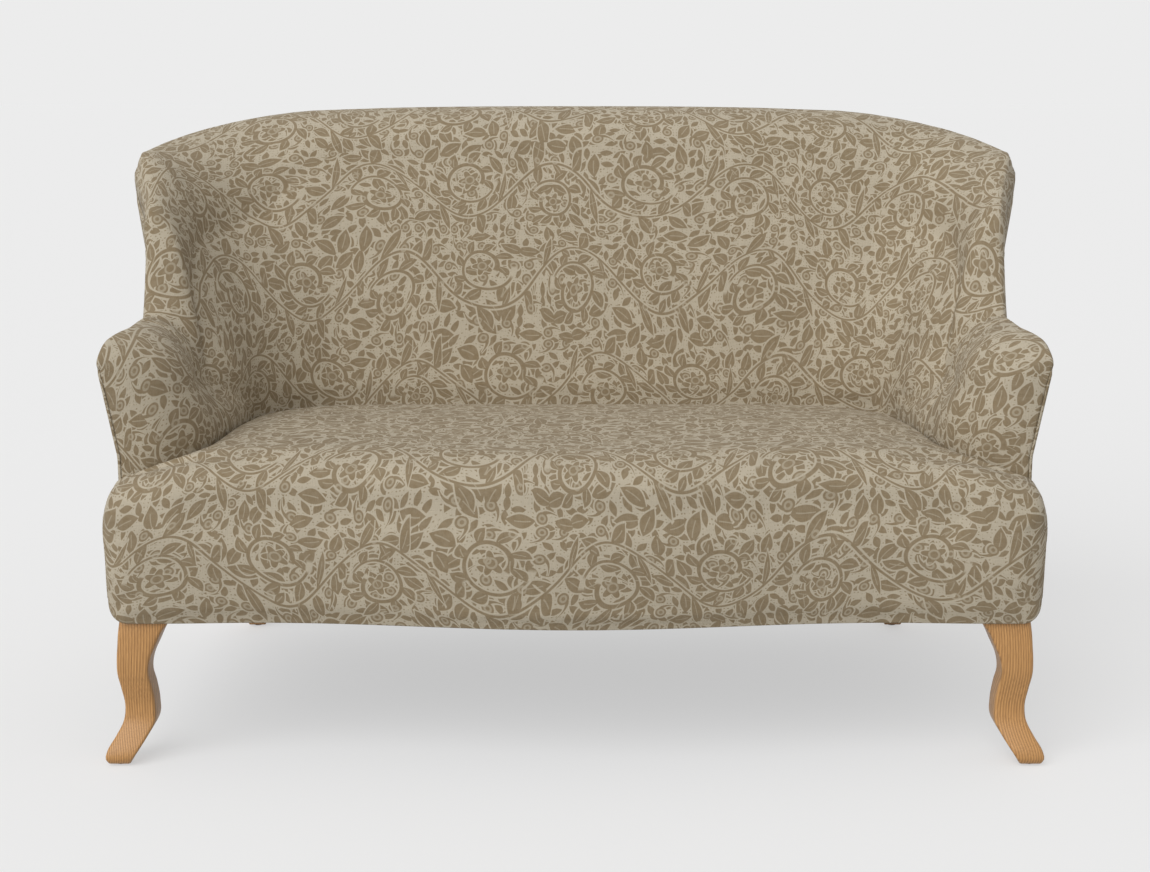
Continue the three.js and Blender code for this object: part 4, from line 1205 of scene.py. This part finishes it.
def make_linen():
    material, tree, shader = new_material("printed_linen", LINEN_ROUGHNESS, **LINEN_SHEEN)
    source = tree.nodes.new("ShaderNodeUVMap")
    source.uv_map = "Print"
    x, y, _ = [part * MM_PER_METRE for part in parts_of(tree, Field(tree, source.outputs[0]))]
    shapes, veins, dots = foliage(tree, x, y)
    wear, _ = noise(tree, x / WEAR_SIZE, y / WEAR_SIZE, detail=3)
    cloud, _ = noise(tree, x / CLOUD_SIZE, y / CLOUD_SIZE)
    warp, _ = noise(tree, x / THREAD, y / SLUB)
    weft, _ = noise(tree, x / SLUB, y / THREAD)
    threads = warp + weft
    ink = covered(shapes) * (1 - covered(veins) * VEIN_LIGHTNESS)
    ink = ink.most(covered(dots) * DOT_STRENGTH)
    ink = ink * between(*INK_STRENGTHS, wear * INK_WEAR + threads * INK_THREADS)
    shade = threads * SHADE_THREADS + cloud * SHADE_CLOUD + SHADE_BASE
    feed(tree, mixed_colour(tree, GROUND_COLOUR, INK_COLOUR, ink, shade), shader.inputs["Base Color"])
    raise_surface(tree, shader, threads, THREAD_RELIEF)
    return material


def make_wood(name, kind, axis):
    """Wood whose grain runs along one axis of the object"""
    light, dark, roughness, fibres, rings = WOODS[kind]
    material, tree, shader = new_material(name, roughness)
    place = object_place(tree)
    x, y, z = place[(axis + 1) % 3], place[(axis + 2) % 3], place[axis]
    sway, _ = noise(tree, *[part * scale for part, scale in zip((x, y, z), SWAY_SCALES)])
    ring = ((x + y * RING_SLANT + sway * SWAY_REACH) * rings).sine() * 0.5 + 0.5
    fine, _ = noise(tree, x * fibres, y * fibres, z * (fibres / FIBRE_LENGTH), detail=3)
    share = ring * RING_SHARE + fine * FIBRE_SHARE - WOOD_PALENESS
    feed(tree, mixed_colour(tree, light, dark, share.within(0, 1)), shader.inputs["Base Color"])
    raise_surface(tree, shader, fine, WOOD_RELIEF)
    return material


def make_stuff(slot):
    """A plain stuff whose colour and surface vary finely, such as felt, plated steel or moulded nylon"""
    name, light, dark, grain, roughness, relief, metallic = STUFFS[slot]
    material, tree, shader = new_material(name, roughness, Metallic=metallic)
    speck, _ = noise(tree, *[part / grain for part in object_place(tree)], detail=3)
    feed(tree, mixed_colour(tree, light, dark, speck), shader.inputs["Base Color"])
    raise_surface(tree, shader, speck, relief)
    return material


def make_webbing():
    """Straps with fine ribs across them"""
    material, tree, shader = new_material("strap_webbing", WEB_ROUGHNESS)
    x, _, z = object_place(tree)
    turns = 2 * math.pi / WEB_RIB
    ribs = (x * turns).sine() * (z * turns).sine() * 0.5 + 0.5
    feed(tree, mixed_colour(tree, *WEB_COLOURS, ribs), shader.inputs["Base Color"])
    raise_surface(tree, shader, ribs, RIB_RELIEF)
    return material


linen = make_linen()
oak = make_wood("light_oak", "oak", 2)
beech = [make_wood(f"beech_{word}", "beech", axis) for axis, word in enumerate("xyz")]
plywood = [make_wood(f"plywood_{word}", "plywood", axis) for axis, word in enumerate("xyz")]
slot_materials = {"webbing": make_webbing(), **{slot: make_stuff(slot) for slot in STUFFS}}


def dress_frame():
    """Gives each CAD node that still shows the material of its slot, with wood grain along its length"""
    slots = {part["node"]: part["material_slot"] for part in frame["record"]["subparts"]}
    for name, node in frame["nodes"].items():
        slot = slots[name]
        low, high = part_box(name)
        axis = int(np.argmax(np.array(high) - np.array(low)))
        woods = {"frame_wood": beech[axis], "frame_board": plywood[axis], "leg_wood": beech[axis]}
        node.data.materials.clear()
        node.data.materials.append(woods.get(slot) or slot_materials.get(slot) or linen)


REPLACED = {
    "seat": ("seat_cover", "seat_pad"),
    "inside_back": ("inside_back_cover", "back_pad"),
    "outside_back": ("outside_back_cover",),
    "inside_arm_left": ("inside_arm_cover_left", "arm_pad_left"),
    "inside_arm_right": ("inside_arm_cover_right", "arm_pad_right"),
    "outside_arm_left": ("outside_arm_cover_left",),
    "outside_arm_right": ("outside_arm_cover_right",),
    "cabriole_leg_left": ("front_leg_left",),
    "cabriole_leg_right": ("front_leg_right",),
    "raked_leg_left": ("rear_leg_left",),
    "raked_leg_right": ("rear_leg_right",),
    "dust_cloth": ("dust_cover",),
}

dress_frame()
for piece in [*inside_pieces, *outside_pieces, seat]:
    piece.data.materials.append(linen)
for piece in legs:
    piece.data.materials.append(oak)
dust.data.materials.append(slot_materials["dust_cloth"])
for piece in [*inside_pieces, *outside_pieces, seat, *legs, dust]:
    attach(piece, "root")
    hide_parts(*REPLACED[piece.name])


# Studio
def seen_directly(tree):
    """1 where the camera, a reflection or a view through glass meets the surface, and 0 for other light"""
    path = tree.nodes.new("ShaderNodeLightPath")
    kinds = [Field(tree, path.outputs[f"Is {kind} Ray"]) for kind in ("Camera", "Glossy", "Transmission")]
    return kinds[0].most(kinds[1]).most(kinds[2])


def blend_shaders(tree, first, second, share):
    node = tree.nodes.new("ShaderNodeMixShader")
    feed(tree, share, node.inputs[0])
    tree.links.new(first, node.inputs[1])
    tree.links.new(second, node.inputs[2])
    return node.outputs[0]


def make_floor():
    r = FLOOR_REACH
    mesh = bpy.data.meshes.new("studio_floor")
    mesh.from_pydata([(-r, -r, 0), (r, -r, 0), (r, r, 0), (-r, r, 0)], [], [(0, 1, 2, 3)])
    floor = object_from(mesh)
    material, tree, shader = new_material("pale_floor", FLOOR_ROUGHNESS)
    seen = seen_directly(tree)
    feed(tree, mixed_colour(tree, FLOOR_TO_OTHERS, FLOOR_IN_SIGHT, seen), shader.inputs["Base Color"])
    glow = tree.nodes.new("ShaderNodeEmission")
    glow.inputs["Color"].default_value = linear(BACKGROUND)
    surface = blend_shaders(tree, shader.outputs[0], glow.outputs[0], seen * SHADOW_SOFTENING)
    tree.links.new(surface, tree.nodes["Material Output"].inputs["Surface"])
    floor.data.materials.append(material)


def make_camera():
    camera = bpy.data.objects.new("camera", bpy.data.cameras.new("camera"))
    bpy.context.scene.collection.objects.link(camera)
    camera.location = CAMERA_PLACE
    camera.rotation_euler = (math.radians(90 - CAMERA_TILT), 0, 0)
    camera.data.sensor_width = SENSOR_WIDTH
    camera.data.lens = SENSOR_WIDTH * FOCAL_PIXELS / PHOTO_WIDTH
    bpy.context.scene.camera = camera


def make_lights():
    world = bpy.data.worlds.new("studio")
    world.use_nodes = True
    tree = world.node_tree
    sky = tree.nodes["Background"]
    sky.inputs["Color"].default_value = (1, 1, 1, 1)
    sky.inputs["Strength"].default_value = SKY_STRENGTH
    backdrop = tree.nodes.new("ShaderNodeBackground")
    backdrop.inputs["Color"].default_value = linear(BACKGROUND)
    surface = blend_shaders(tree, sky.outputs[0], backdrop.outputs[0], seen_directly(tree))
    tree.links.new(surface, tree.nodes["World Output"].inputs["Surface"])
    bpy.context.scene.world = world
    key = bpy.data.objects.new("key", bpy.data.lights.new("key", "SUN"))
    key.data.energy = KEY_STRENGTH
    key.data.angle = math.radians(KEY_ANGLE)
    key.rotation_euler = Vector(KEY_DIRECTION).to_track_quat("-Z", "Y").to_euler()
    bpy.context.scene.collection.objects.link(key)


make_floor()
make_camera()
make_lights()
bpy.context.scene.view_settings.view_transform = "Standard"
